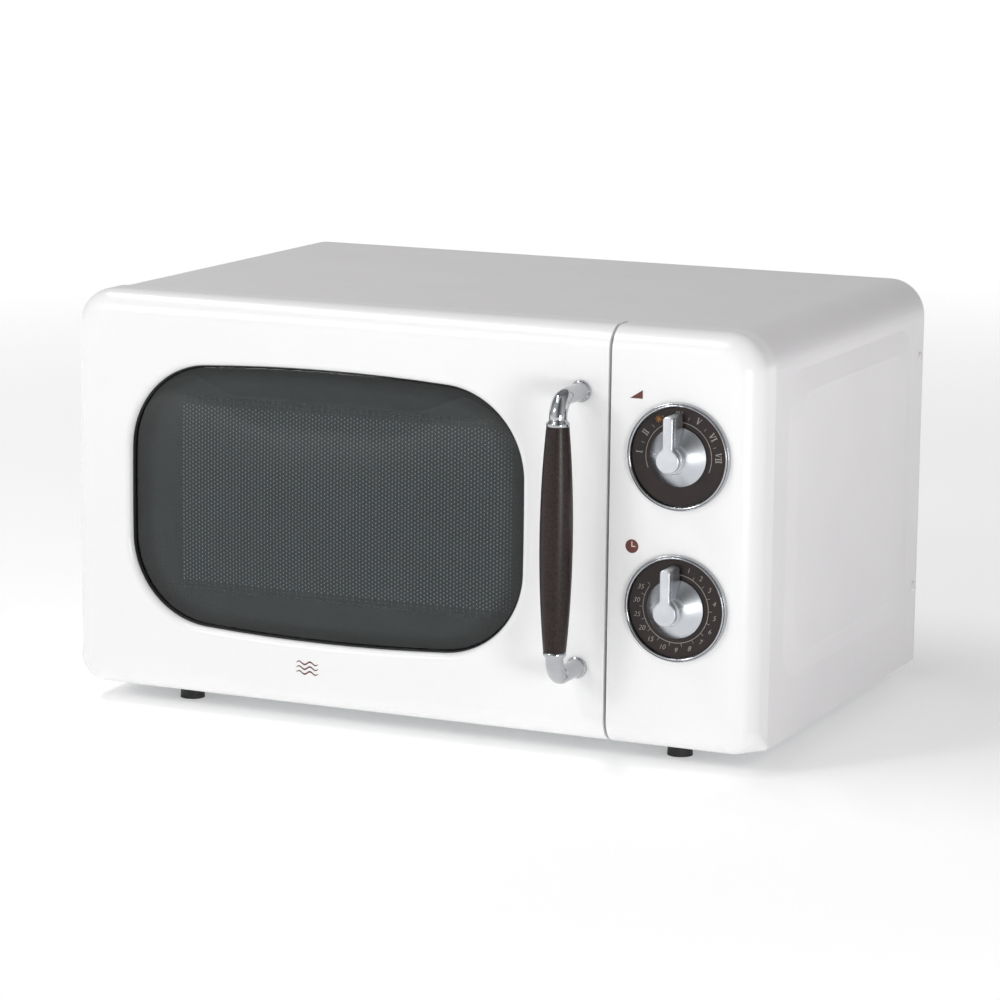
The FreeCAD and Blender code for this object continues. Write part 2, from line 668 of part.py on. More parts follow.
def handle_screws():
    """Two screws that hold the brackets from inside the shell."""
    screws = []
    for tag, level in (("low", "handle_foot"), ("high", "handle_top")):
        shank = cylinder(f"handle_screw_{tag}", "handle_screw_radius", "handle_screw_length - 1",
                         ("handle_place", "front + shell_wall", level), "-y")
        head = cylinder(f"handle_screw_head_{tag}", "screw_head_radius", "2.4",
                        ("handle_place", "front + shell_wall", level), "y")
        screws.append(fuse(f"handle_screw_whole_{tag}", shank, head))
    publish("handle_screws", group("handle_screw_pair", *screws))


def hook_plate():
    """The sliding strip with two hooks that reach into the oven's frame."""
    low = "hook_low_z - hook_height"
    carrier = box("hook_carrier", ("carrier_width", "carrier_wall", "hook_high_z - hook_low_z + "
                                   "2 * hook_height"),
                  ("hook_place - carrier_width / 2", "carrier_y", low))
    hooks = []
    for tag, level in (("low", "hook_low_z"), ("high", "hook_high_z")):
        foot = "carrier_y + carrier_wall"
        reach = f"(seam + hook_reach - ({foot}))"
        half = "hook_height / 2"
        corners = [("0", f"-({half})"), (f"{reach} - hook_nose", f"-({half})"),
                   (f"{reach} - hook_nose", f"-({half}) - hook_nose"),
                   (reach, f"-({half})"), (reach, "0"), (f"{reach} - hook_nose", half), ("0", half)]
        hooks.append(slab(f"hook_{tag}", "YZ", corners, "hook_wall",
                          ("hook_place - hook_wall / 2", foot, level)))
    publish("latch_hooks", fuse("hook_strip", carrier, *hooks))


def latch_spring():
    """The small compression spring over the hook strip."""
    wire, radius = size_of("spring_wire"), size_of("spring_radius")
    height, turns = size_of("spring_length - 2 * spring_wire"), size_of("spring_turns")
    helix = Part.makeHelix(height / turns, height, radius)
    start = Vector(radius, 0, 0)
    section = Part.Wire(Part.Circle(start, Vector(0, 1, 0), wire).toShape())
    thing = DOC.addObject("Part::Feature", "spring_coil")
    thing.Shape = Part.Wire(helix.Edges).makePipeShell([section], True, True)
    place(thing, ("hook_place", "spring_y", "spring_low + spring_wire"))
    publish("latch_spring", thing)


def latch_board():
    """The plastic block behind the frame that takes the hooks and carries the switches."""
    low = "hook_low_z - 3 * hook_height"
    high = "hook_high_z + 3 * hook_height"
    left = "hook_place - latch_board_width / 2"
    blank = box("latch_blank", ("latch_board_width", "latch_board_depth", f"{high} - ({low})"),
                (left, "cavity_face", low))
    pockets = []
    for tag, level in (("low", "hook_low_z"), ("high", "hook_high_z")):
        size = ("hook_wall + 2 * hook_nose", "latch_board_depth - 4",
                "hook_height + 2 * hook_nose + 2 * latch_travel")
        pockets.append(block(f"latch_pocket_{tag}", size,
                             ("hook_place", "cavity_face + latch_board_depth / 2 - 2", level)))
    middle = block("latch_relief", ("latch_board_width - 8", "latch_board_depth", "46"),
                   ("hook_place", "cavity_face + latch_board_depth / 2 + 6",
                    "(hook_low_z + hook_high_z) / 2"))
    publish("latch_board", cut("latch_block", blank, *pockets, middle))


def door_switches():
    """Three snap switches beside the latch block, each with its button."""
    left = "hook_place + latch_board_width / 2"
    spots = {"primary": "hook_high_z", "monitor": "hook_high_z - switch_height - 6",
             "secondary": "hook_low_z"}
    switches = []
    for name, place_z in spots.items():
        case = block(f"{name}_case", ("switch_width", "switch_depth", "switch_height"),
                     (f"{left} + switch_width / 2", "cavity_face + 6 + switch_depth / 2", place_z))
        button = block(f"{name}_button", ("plunger_size", "plunger_size", "plunger_size"),
                       (f"{left} + switch_width / 2", "cavity_face + 6 - plunger_size / 2",
                        f"{place_z} + switch_height / 4"))
        tabs = [box(f"{name}_tab_{number}", ("0.8", "6", "4"),
                    (f"{left} + switch_width / 2", "cavity_face + 6 + switch_depth",
                     f"{place_z} - 12 + {number} * 9"))
                for number in range(3)]
        switches.append(fuse(f"{name}_switch", case, button, *tabs))
    publish("door_switches", group("switch_set", *switches))


# ---------------------------------------------------------------- control panel

def control_panel(blank, hollow):
    """The white panel with two shaft holes and the bosses of its controls."""
    far = "body_width"
    half_blank = common("panel_blank", blank, box(
        "panel_side", (far, far, far), ("panel_left", "front - 1", "0")))
    half_hollow = common("panel_hollow", hollow, box(
        "panel_hollow_side", (far, far, far), ("panel_left + shell_wall", "front - 1", "0")))
    back = box("panel_open_back", (far, "1", far), ("panel_left - 1", "bezel_back", "0"))
    shell = cut("panel_shell", half_blank, half_hollow, back)
    holes = [cylinder(f"{name}_shaft_hole", "shaft_hole", "shell_wall + 2",
                      ("dial_place", "front - 1", level), "y")
             for name, level in (("power", "power_z"), ("timer", "timer_z"))]
    publish("control_panel", cut("panel", shell, *holes))


def dial(name, level):
    """One dial: chrome ring, dark face, knob and shaft."""
    at = ("dial_place", "front", level)
    inner, outer = "dial_radius - dial_ring", "dial_radius"
    crown = [(inner, "0"), (outer, "0"), (outer, "0.45 * dial_rise"),
             ("dial_radius - 0.2 * dial_ring", "0.75 * dial_rise"),
             ("dial_radius - 0.45 * dial_ring", "0.6 * dial_rise"),
             ("dial_radius - 0.7 * dial_ring", "dial_rise"), (inner, "0.7 * dial_rise")]
    publish(f"{name}_dial_ring", turned(f"{name}_crown", crown, at, "-y"))
    publish(f"{name}_dial_face", ring(f"{name}_face", "shaft_hole", inner, "face_wall", at, "-y"))
    low = "face_wall + part_gap"
    rise = "face_wall + knob_rise"
    neck = [("0", low), ("knob_skirt_radius", low), ("knob_skirt_radius", f"{low} + 1"),
            ("knob_neck_radius", "face_wall + knob_cone"),
            ("knob_head_radius", "face_wall + knob_cone + 0.4"),
            ("knob_head_radius", rise, "round", "0.8"), ("0", rise)]
    body = turned(f"{name}_knob_body", neck, at, "-y")
    half = "fin_width / 2"
    fin_shape = [(f"-({half})", "0"), (half, "0"), (half, "fin_length", "round", "fin_width / 2.3"),
                 (f"-({half})", "fin_length", "round", "fin_width / 2.3")]
    fin = slab(f"{name}_fin", "XZ", fin_shape, f"knob_rise - {low} - 1",
               ("dial_place", f"front - ({rise})", level))
    socket = cylinder(f"{name}_socket", "shaft_radius + running_fit", "knob_rise / 2",
                      ("dial_place", f"front - ({low}) + 0.1", level), "-y")
    publish(f"{name}_knob", cut(f"{name}_knob_cut", fuse(f"{name}_knob_whole", body, fin), socket))


def control_units():
    """The clockwork timer and the power selector behind the panel, and their shafts."""
    specs = {"timer": ("timer_z", "timer_box", "timer_box", "timer_depth"),
             "power": ("power_z", "power_box_width", "power_box_height", "power_depth")}
    for name, (level, width, height, depth) in specs.items():
        start = "front + shell_wall + control_mount"
        case = block(f"{name}_case", (width, depth, height),
                     ("dial_place", f"{start} + {depth} / 2", level))
        neck = cylinder(f"{name}_neck", "shaft_radius + 3", "control_mount",
                        ("dial_place", "front + shell_wall", level), "y")
        feet = [cylinder(f"{name}_post_{side}", "3", "control_mount",
                         (f"dial_place + ({side}) * ({width} / 2 - 5)", "front + shell_wall",
                          f"{level} + {height} / 2 - 5"), "y")
                for side in (-1, 1)]
        bore = cylinder(f"{name}_bore", "shaft_radius + running_fit", "control_mount + 12",
                        ("dial_place", "front + shell_wall", level), "y")
        unit = rounded(f"{name}_case_round", case, "3", along("y"))
        publish(f"{name}_unit", cut(f"{name}_unit_cut", fuse(f"{name}_unit_whole", unit, neck,
                                                             *feet), bore))
        reach = "knob_rise / 2 - 1"
        publish(f"{name}_shaft", cylinder(
            f"{name}_rod", "shaft_radius", f"{reach} + shell_wall + control_mount + 11",
            ("dial_place", f"front - ({reach})", level), "y"))


# ---------------------------------------------------------------- cabinet

def cover_section():
    """Half-open section of the wrap-round cover, with a lip along each low edge."""
    side, inner = "cover_side", "inner_side"
    low, lip_top = "cover_low", "cover_low + sheet_wall"
    return [(f"-({side})", low), (f"-({inner}) + lip_width", low),
            (f"-({inner}) + lip_width", lip_top), (f"-({inner})", lip_top),
            (f"-({inner})", "cover_top - sheet_wall", "round", "cover_corner - sheet_wall"),
            (inner, "cover_top - sheet_wall", "round", "cover_corner - sheet_wall"),
            (inner, lip_top), (f"{inner} - lip_width", lip_top), (f"{inner} - lip_width", low),
            (side, low), (side, "cover_top", "round", "cover_corner"),
            (f"-({side})", "cover_top", "round", "cover_corner")]


def emboss(name, start):
    """A shallow raised panel: a large outline that rises to a smaller one along +X."""
    body = new_body(name)
    sketches = []
    for tag, shrink, level in (("foot", "0", "0"), ("crown", "emboss_slope", "emboss_rise")):
        corners = rectangle(f"seam + emboss_front + {shrink}", f"body_low + emboss_low + {shrink}",
                            f"rear - emboss_rear - {shrink}",
                            f"body_top - emboss_drop - {shrink}", "emboss_corner")
        sketches.append(outline(body, f"{name}_{tag}", "YZ_Plane", corners, level))
    loft = body.newObject("PartDesign::AdditiveLoft", name + "_loft")
    loft.Profile = sketches[0]
    loft.Sections = sketches[1:]
    loft.Ruled = True
    return place(body, (start, "0", "0"))


def outer_cover():
    """The wrap-round sheet steel cover with a raised panel in each side."""
    wrap = slab("cover_wrap", "XZ", cover_section(), "cabinet_depth", ("0", "seam", "0"))
    raised = emboss("cover_raised", "cover_side")
    hollow = emboss("cover_recess", "inner_side")
    skin = fuse("cover_skin", wrap, raised, mirrored("cover_raised_left", raised))
    publish("outer_cover", cut("cover", skin, hollow, mirrored("cover_recess_left", hollow),
                               *cover_screw_holes("cover_hole", "cover_screw_radius + part_gap")))


def cover_screw_spots():
    """Side and height of each screw along the rear edges of the cover."""
    return [(side, level) for side in (-1, 1) for level in ("0.2 * body_height",
                                                           "0.8 * body_height")]


def cover_screw_holes(name, radius):
    """Holes for the cover's screws, through both of its sides."""
    holes = []
    for number, (side, level) in enumerate(cover_screw_spots()):
        foot = (f"({side}) * (inner_side - rear_flange)", "rear - rear_setback - rear_flange / 2",
                f"body_low + {level}")
        axis = "x" if side > 0 else "-x"
        holes.append(cylinder(f"{name}_{number}", radius, "rear_flange + 5", foot, axis))
    return holes


def cover_screws():
    """Screws through the cover into the rear panel's flanges."""
    screws = []
    for number, (side, level) in enumerate(cover_screw_spots()):
        foot = (f"({side}) * (cover_side + 1.6)", "rear - rear_setback - rear_flange / 2",
                f"body_low + {level}")
        axis = "-x" if side > 0 else "x"
        head_foot = (f"({side}) * cover_side", foot[1], foot[2])
        head_axis = "x" if side > 0 else "-x"
        screws.append(fuse(f"cover_screw_{number}",
                           cylinder(f"cover_shank_{number}", "cover_screw_radius",
                                    "cover_screw_length", foot, axis),
                           cylinder(f"cover_head_{number}", "cover_screw_head", "1.6",
                                    head_foot, head_axis)))
    publish("cover_screws", group("cover_screw_set", *screws))


def rear_panel():
    """The rear pressing: a plate with forward flanges, vents and the inlet's hole."""
    gap = "part_gap"
    rules = (f"-(inner_side - {gap})", f"base_top + {gap}", f"inner_side - {gap}",
             f"cover_top - sheet_wall - {gap}")
    corner = f"cover_corner - sheet_wall - {gap}"
    radii = ("rear_corner", "rear_corner", corner, corner)
    blank = slab("rear_blank", "XZ", rectangle(*rules, *radii), "rear_flange",
                 ("0", "rear - rear_setback - rear_flange", "0"))
    thin = [f"{rules[0]} + sheet_wall", f"{rules[1]} + sheet_wall", f"{rules[2]} - sheet_wall",
            f"{rules[3]} - sheet_wall"]
    dish = slab("rear_dish", "XZ",
                rectangle(*thin, *[f"{radius} - sheet_wall" for radius in radii]),
                "rear_flange - sheet_wall", ("0", "rear - rear_setback - rear_flange", "0"))
    tools = [dish]
    tools += vent_slots("fan_vent", "supply_place", "fan_z", 2, 9)
    tools += vent_slots("rear_vent", "cavity_place", "body_top - 46", 5, 4)
    tools.append(cylinder("inlet_hole", "inlet_radius + part_gap", "4",
                          ("supply_place + 30", "rear_plate - 1", "body_low + inlet_level"), "y"))
    tools += cover_screw_holes("rear_hole", "cover_screw_radius + running_fit")
    publish("rear_panel", cut("rear", blank, *tools))


def vent_slots(name, across, level, columns, rows):
    """Slots in rows and columns round one middle, cut through the rear plate."""
    slots = []
    for column in range(columns):
        for row in range(rows):
            middle = (f"{across} + ({column - (columns - 1) / 2}) * (vent_length + 6)",
                      "rear_plate", f"{level} + ({row - (rows - 1) / 2}) * vent_pitch")
            slots.append(block(f"{name}_{column}_{row}", ("vent_length", "6", "vent_width"),
                               middle))
    return slots


def foot_spots():
    """Name, side and depth of each foot."""
    return [(f"foot_{depth}_{side}", sign, place_y)
            for depth, place_y in (("front", "seam + foot_setback"),
                                   ("rear", "rear - foot_setback - foot_radius"))
            for side, sign in (("left", -1), ("right", 1))]


def base_plate():
    """The steel floor of the cabinet, on the cover's lips, with foot holes and slots."""
    gap = "part_gap"
    plate = box("base_blank", (f"2 * (inner_side - {gap})",
                               "cabinet_depth - frame_setback - 2 * sheet_wall - rear_setback",
                               "base_wall"),
                (f"-(inner_side - {gap})", "cavity_face", "base_low"))
    tools = [cylinder(f"{name}_hole", "foot_stem_radius", "base_wall + 2",
                      (f"({sign}) * (half_width - foot_inset)", place_y, "base_low - 1"))
             for name, sign, place_y in foot_spots()]
    for number in range(8):
        tools.append(block(f"base_vent_{number}", ("40", "vent_width", "6"),
                           ("supply_place", f"rear - 60 - {number} * vent_pitch", "base_low")))
    publish("base_plate", cut("base", plate, *tools))


def feet():
    """Four rubber feet, each with a stem that snaps into the base plate."""
    for name, sign, place_y in foot_spots():
        top = "base_low"
        corners = [("0", "0"), ("foot_radius", "0"), ("foot_top_radius", top),
                   ("foot_stem_radius", top), ("foot_stem_radius", f"{top} + foot_stem"),
                   ("0", f"{top} + foot_stem")]
        publish(name, turned(f"{name}_turned", corners,
                             (f"({sign}) * (half_width - foot_inset)", place_y, "0")))


def front_frame():
    """The flat steel front of the chassis: cavity mouth, hook slots and control bay."""
    gap = "part_gap"
    corner = f"cover_corner - sheet_wall - {gap}"
    side = f"inner_side - {gap}"
    radii = ("0.5", "0.5", corner, corner)
    blank = slab("frame_blank", "XZ", rectangle(f"-({side})", f"base_low + {gap}", side,
                                                f"cover_top - sheet_wall - {gap}", *radii),
                 "sheet_wall", ("0", "frame_face", "0"))
    mouth = slab("frame_mouth", "XZ", rectangle("cavity_left", "cavity_floor", "cavity_right",
                                                "cavity_roof", "cavity_corner"),
                 "sheet_wall + 2", ("0", "frame_face - 1", "0"))
    bay = slab("frame_bay", "XZ", rectangle("panel_left + 4", "body_low + 14", "half_width - 14",
                                            "body_top - 14", "10"),
               "sheet_wall + 2", ("0", "frame_face - 1", "0"))
    tools = [mouth, bay]
    for tag, level in (("low", "hook_low_z"), ("high", "hook_high_z")):
        size = ("hook_wall + 2 * hook_nose", "6", "hook_height + 2 * hook_nose + "
                "2 * latch_travel")
        tools.append(block(f"hook_slot_{tag}", size,
                           ("hook_place", "frame_face", level)))
    for tag, level in (("low", "hinge_low_z"), ("high", "hinge_high_z")):
        size = (f"2 * arm_half + 2 * {gap}", "6", f"arm_wall + 2 * {gap}")
        tools.append(block(f"arm_slot_{tag}", size,
                           ("hinge_x + arm_half - pin_radius", "frame_face",
                            f"{level} + arm_wall / 2")))
    publish("front_frame", cut("frame", blank, *tools))


def hinge_bracket(name, level, side):
    """A hinge: a plate behind the frame, an arm through it and an upright pin."""
    low = level
    inward = "hinge_x - pin_radius"
    arm = box(f"{name}_arm", ("2 * arm_half", "hinge_setback + frame_setback + sheet_wall + 1",
                              "arm_wall"), (inward, "hinge_y", low))
    eye = cylinder(f"{name}_eye", "pin_radius", "arm_wall", ("hinge_x", "hinge_y", low))
    shoulder = block(f"{name}_shoulder", ("arm_half", "2 * pin_radius", "arm_wall"),
                     ("hinge_x + arm_half / 2", "hinge_y", f"{low} + arm_wall / 2"))
    pin_foot = f"{low} + arm_wall" if side > 0 else low
    pin = cylinder(f"{name}_pin", "pin_radius", "pin_length", ("hinge_x", "hinge_y", pin_foot),
                   "z" if side > 0 else "-z")
    drop = "hinge_plate_height - arm_wall"
    plate_low = f"{low} - ({drop})" if side > 0 else low
    plate = box(f"{name}_plate", ("hinge_plate_width", "1.5", "hinge_plate_height"),
                (inward, "cavity_face", plate_low))
    publish(name, fuse(f"{name}_whole", arm, eye, shoulder, pin, plate))


# ---------------------------------------------------------------- cavity and turntable

def oven_cavity():
    """The welded steel box that food is cooked in."""
    rules = ("cavity_left", "cavity_floor", "cavity_right", "cavity_roof")
    outer = slab("cavity_outer", "XZ",
                 rectangle("cavity_left - sheet_wall", "cavity_floor - sheet_wall",
                           "cavity_right + sheet_wall", "cavity_roof + sheet_wall",
                           "cavity_corner + sheet_wall"),
                 "cavity_depth + sheet_wall", ("0", "cavity_face", "0"))
    inner = slab("cavity_inner", "XZ", rectangle(*rules, "cavity_corner"), "cavity_depth",
                 ("0", "cavity_face", "0"))
    port = block("cavity_port", ("6", "port_width", "port_height"),
                 ("cavity_right", "duct_y", "duct_z"))
    drive = cylinder("cavity_drive_hole", "shaft_hole_radius", "6",
                     ("cavity_place", "table_y", "cavity_floor - 4"))
    tools = [inner, port, drive]
    for row in range(3):
        for column in range(5):
            tools.append(cylinder(f"lamp_hole_{row}_{column}", "1.6", "6",
                                  ("cavity_right - 3", f"cavity_face + lamp_place - 12 + "
                                   f"{column} * 6", f"lamp_z - 6 + {row} * 6"), "x"))
    publish("oven_cavity", cut("cavity", outer, *tools))


def waveguide():
    """The duct that carries the microwaves, open to the cavity and to the antenna."""
    size = ("duct_depth", "duct_width", "duct_height")
    start = "cavity_right + sheet_wall"
    middle = (f"{start} + duct_depth / 2", "duct_y", "duct_z")
    inner = [f"{rule} - 2 * sheet_wall" for rule in size]
    port = block("duct_port", ("6", "port_width", "port_height"), (start, "duct_y", "duct_z"))
    antenna = cylinder("duct_antenna_hole", "antenna_radius + 1", "6",
                       (f"{start} + duct_depth - 3", "duct_y", "duct_z"), "x")
    publish("waveguide", cut("duct", block("duct_outer", size, middle),
                             block("duct_inner", inner, middle), port, antenna))


def waveguide_cover():
    """The mica sheet over the port, inside the cavity."""
    publish("waveguide_cover", block(
        "mica", ("mica_wall", "port_width + 2 * mica_margin", "port_height + 2 * mica_margin"),
        ("cavity_right - mica_wall / 2", "duct_y", "duct_z")))


def turntable_motor():
    """The flat synchronous motor under the cavity's floor."""
    top = "cavity_floor - sheet_wall"
    can = cylinder("motor_can", "motor_radius", "motor_height",
                   ("cavity_place", "table_y", f"{top} - part_gap - motor_height"))
    bore = cylinder("motor_bore", "drive_radius + running_fit", "motor_height",
                    ("cavity_place", "table_y", f"{top} - part_gap - motor_height + 1"))
    ears = [cylinder(f"motor_ear_{side}", "5", "1.5",
                     (f"cavity_place + ({side}) * (motor_radius + 3)", "table_y",
                      f"{top} - part_gap - 1.5")) for side in (-1, 1)]
    publish("turntable_motor", cut("motor", fuse("motor_whole", can, *ears), bore))


def turntable_coupler():
    """The three-armed hub on the motor's shaft that turns the tray."""
    base = "cavity_floor + part_gap + 0.2"
    hub = cylinder("coupler_hub", "hub_radius", f"tray_under - part_gap - ({base})",
                   ("cavity_place", "table_y", base))
    shaft = cylinder("coupler_shaft", "drive_radius", "cavity_rise / 2 + 3",
                     ("cavity_place", "table_y", base), "-z")
    arms = []
    for number in range(3):
        arm = box(f"coupler_arm_{number}", ("hub_arm_length", "hub_arm_width", "hub_arm_wall"),
                  ("0", "-hub_arm_width / 2", "0"))
        arms.append(arm)
    spokes = [spun(f"coupler_spoke_{number}", arm, 120 * number,
                   ("cavity_place", "table_y", "tray_under - part_gap - hub_arm_wall"))
              for number, arm in enumerate(arms)]
    publish("turntable_coupler", fuse("coupler", hub, shaft, *spokes))


def spun(name, source, angle, at):
    """A piece drawn about the origin, turned about Z and moved to its place."""
    thing = group(name, source)
    return place(thing, at, Rotation(Vector(0, 0, 1), angle))


def glass_tray():
    """The glass tray: flat dish, raised rim and three lugs under it."""
    rim_foot = "tray_radius - tray_rim_slope"
    corners = [("0", "0"), (rim_foot, "0", "round", "6"), ("tray_radius", "tray_rim"),
               ("tray_radius - tray_wall * 0.8", "tray_rim"),
               (f"{rim_foot} - tray_wall * 0.6", "tray_wall", "round", "4"), ("0", "tray_wall")]
    at = ("cavity_place", "table_y", "tray_under")
    lugs = []
    for number in range(3):
        post = cylinder(f"tray_lug_{number}", "tray_lug_size", "tray_lug_drop + 1",
                        ("tray_lug_radius", "0", "-tray_lug_drop"))
        lugs.append(spun(f"tray_post_{number}", post, 120 * number + 60, at))
    publish("glass_tray", fuse("tray", turned("tray_dish", corners, at), *lugs))


def roller_ring():
    """The plastic ring with three stub axles that keeps the rollers apart."""
    level = "cavity_floor + part_gap + roller_radius"
    inner = "ring_radius - ring_width / 2"
    band = ring("roller_band", inner, f"{inner} + ring_width", "ring_wall",
                ("cavity_place", "table_y", f"{level} - ring_wall / 2"))
    axles = []
    for number in range(3):
        rod = cylinder(f"roller_rod_{number}", "axle_radius",
                       "roller_track + roller_width / 2 + part_gap + 1 - ring_radius",
                       ("ring_radius", "0", "0"), "x")
        head = cylinder(f"roller_stop_{number}", "axle_head_radius", "1.2",
                        ("roller_track + roller_width / 2 + part_gap", "0", "0"), "x")
        whole = fuse(f"roller_axle_{number}", rod, head)
        axles.append(spun(f"roller_axle_turned_{number}", whole, 120 * number + 30,
                          ("cavity_place", "table_y", level)))
    publish("roller_ring", fuse("ring_frame", band, *axles))


def rollers():
    """Three small wheels, each free on its axle."""
    level = "cavity_floor + part_gap + roller_radius"
    for number in range(3):
        wheel = ring(f"wheel_{number}", "axle_radius + running_fit", "roller_radius",
                     "roller_width", ("roller_track - roller_width / 2", "0", "0"), "x")
        publish(f"roller_{number + 1}",
                spun(f"wheel_turned_{number}", wheel, 120 * number + 30,
                     ("cavity_place", "table_y", level)))


# ---------------------------------------------------------------- electrical parts

def magnetron():
    """The magnetron: yoke, tube with its antenna, fins and magnets, and filter box."""
    start = "cavity_right + sheet_wall + duct_depth"
    middle = (f"{start} + yoke_length / 2", "duct_y", "duct_z")
    size = ("yoke_length", "yoke_width", "yoke_height")
    inner = ("yoke_length - 2 * yoke_wall", "yoke_width + 2", "yoke_height - 2 * yoke_wall")
    hole = cylinder("yoke_hole", "antenna_radius + 1", "yoke_length + 2",
                    (f"{start} - 1", "duct_y", "duct_z"), "x")
    publish("magnetron_yoke", cut("yoke", block("yoke_outer", size, middle),
                                  block("yoke_inner", inner, middle), hole))
    inside = f"{start} + yoke_wall"
    span = "(yoke_length - 2 * yoke_wall)"
    core = cylinder("tube_core", "tube_core_radius", f"{span} - 2 * magnet_wall",
                    (f"{inside} + magnet_wall", "duct_y", "duct_z"), "x")
    stem = cylinder("tube_stem", "antenna_radius", f"antenna_length + {span} + yoke_wall",
                    (f"{start} - antenna_length", "duct_y", "duct_z"), "x")
    fins = []
    for number in range(SIZES["fin_count"]):
        step = f"({span} - 2 * magnet_wall) * {number + 0.5} / {SIZES['fin_count']}"
        fins.append(block(f"tube_fin_{number}",
                          ("cooling_fin", "yoke_width - 4", "yoke_height - 2 * yoke_wall - 1"),
                          (f"{inside} + magnet_wall + {step}", "duct_y", "duct_z")))
    publish("magnetron_tube", fuse("tube", core, stem, *fins))
    magnets = [ring(f"magnet_{tag}", "antenna_radius + part_gap", "magnet_radius", "magnet_wall - "
                    "part_gap", (foot, "duct_y", "duct_z"), "x")
               for tag, foot in (("near", inside),
                                 ("far", f"{start} + yoke_length - yoke_wall - magnet_wall + "
                                  "part_gap"))]
    publish("magnetron_magnets", group("magnet_pair", *magnets))
    filter_start = f"{start} + yoke_length"
    case = box("filter_case", ("filter_box", "yoke_width - 22", "yoke_height - 14"),
               (filter_start, "duct_y - (yoke_width - 22) / 2", "duct_z - (yoke_height - 14) / 2"))
    room = box("filter_room", ("filter_box - 2 * yoke_wall", "yoke_width - 24",
                               "yoke_height - 16"),
               (f"{filter_start} - yoke_wall", "duct_y - (yoke_width - 24) / 2",
                "duct_z - (yoke_height - 16) / 2"))
    publish("magnetron_filter", cut("filter", case, room))


def transformer():
    """The high-voltage transformer: laminated core and two coils round its middle leg."""
    middle = ("supply_place", "seam + transformer_setback + core_depth / 2",
              "base_top + 2 + core_height / 2")
    core = block("core_blank", ("core_width", "core_depth", "core_height"), middle)
    windows = [block(f"core_window_{side}", ("core_width / 2 - 2 * core_leg", "core_depth + 2",
                                             "core_height - 2 * core_leg"),
                     (f"{middle[0]} + ({side}) * core_width / 4", middle[1], middle[2]))
               for side in (-1, 1)]
    foot = box("core_foot", ("core_width + 22", "core_depth - 10", "2"),
               ("supply_place - core_width / 2 - 11", "seam + transformer_setback + 5",
                "base_top"))
    publish("transformer_core", fuse("core", cut("core_cut", core, *windows), foot))
    gap = "part_gap"
    tall = f"(core_height - 2 * core_leg - 2 * {gap}) / 2 - 1"
    coils = []
    for number, level in enumerate((f"{middle[2]} - ({tall}) / 2 - 0.8",
                                    f"{middle[2]} + ({tall}) / 2 + 0.8")):
        across = f"core_width - 2 * core_leg - 2 * {gap}"
        body = block(f"coil_{number}", (across, "core_depth + 2 * coil_bulge", tall),
                     (middle[0], middle[1], level))
        leg = block(f"coil_leg_{number}", (f"2 * core_leg + 2 * {gap}",
                                           f"core_depth + 2 * {gap}", "core_height"), middle)
        soft = rounded(f"coil_round_{number}", body, "8", along("z"))
        coils.append(cut(f"coil_cut_{number}", soft, leg))
    publish("transformer_coils", group("coil_pair", *coils))


def capacitor():
    """The oval high-voltage capacitor, its strap and its diode."""
    start = "seam + capacitor_setback"
    middle = ("supply_place", f"{start} + capacitor_depth / 2",
              "base_top + capacitor_height / 2 + 0.5")
    can = rounded("capacitor_round", block(
        "capacitor_blank", ("capacitor_width", "capacitor_depth", "capacitor_height"), middle),
        "capacitor_depth / 2.2", along("z"))
    pins = [box(f"capacitor_pin_{side}", ("6", "0.8", "9"),
                (f"supply_place + ({side}) * 18 - 3", middle[1],
                 "base_top + capacitor_height")) for side in (-1, 1)]
    whole = fuse("capacitor_whole", can, *pins)
    grip = "1.2"
    outer = block("strap_outer", (f"capacitor_width + 2 * {grip}", f"capacitor_depth + 2 * {grip}",
                                  "10"), (middle[0], middle[1], "base_top + 14"))
    strap_round = rounded("strap_round", outer, f"capacitor_depth / 2.2 + {grip}", along("z"))
    hole = rounded("strap_hole", block(
        "strap_inner", ("capacitor_width", "capacitor_depth", "12"),
        (middle[0], middle[1], "base_top + 14")), "capacitor_depth / 2.2", along("z"))
    tab = box("strap_tab", ("12", "12", "14"), ("supply_place - 6", f"{start} + capacitor_depth "
                                                f"+ {grip} - 0.4", "base_top"))
    strap = cut("strap", fuse("strap_whole", strap_round, tab), hole)
    publish("capacitor", group("capacitor_set", whole, strap))
    publish("diode", cylinder("diode_body", "diode_radius", "diode_length",
                              ("supply_place - diode_length / 2", f"{start} + capacitor_depth "
                               "+ 24", "base_top + diode_radius"), "x"))


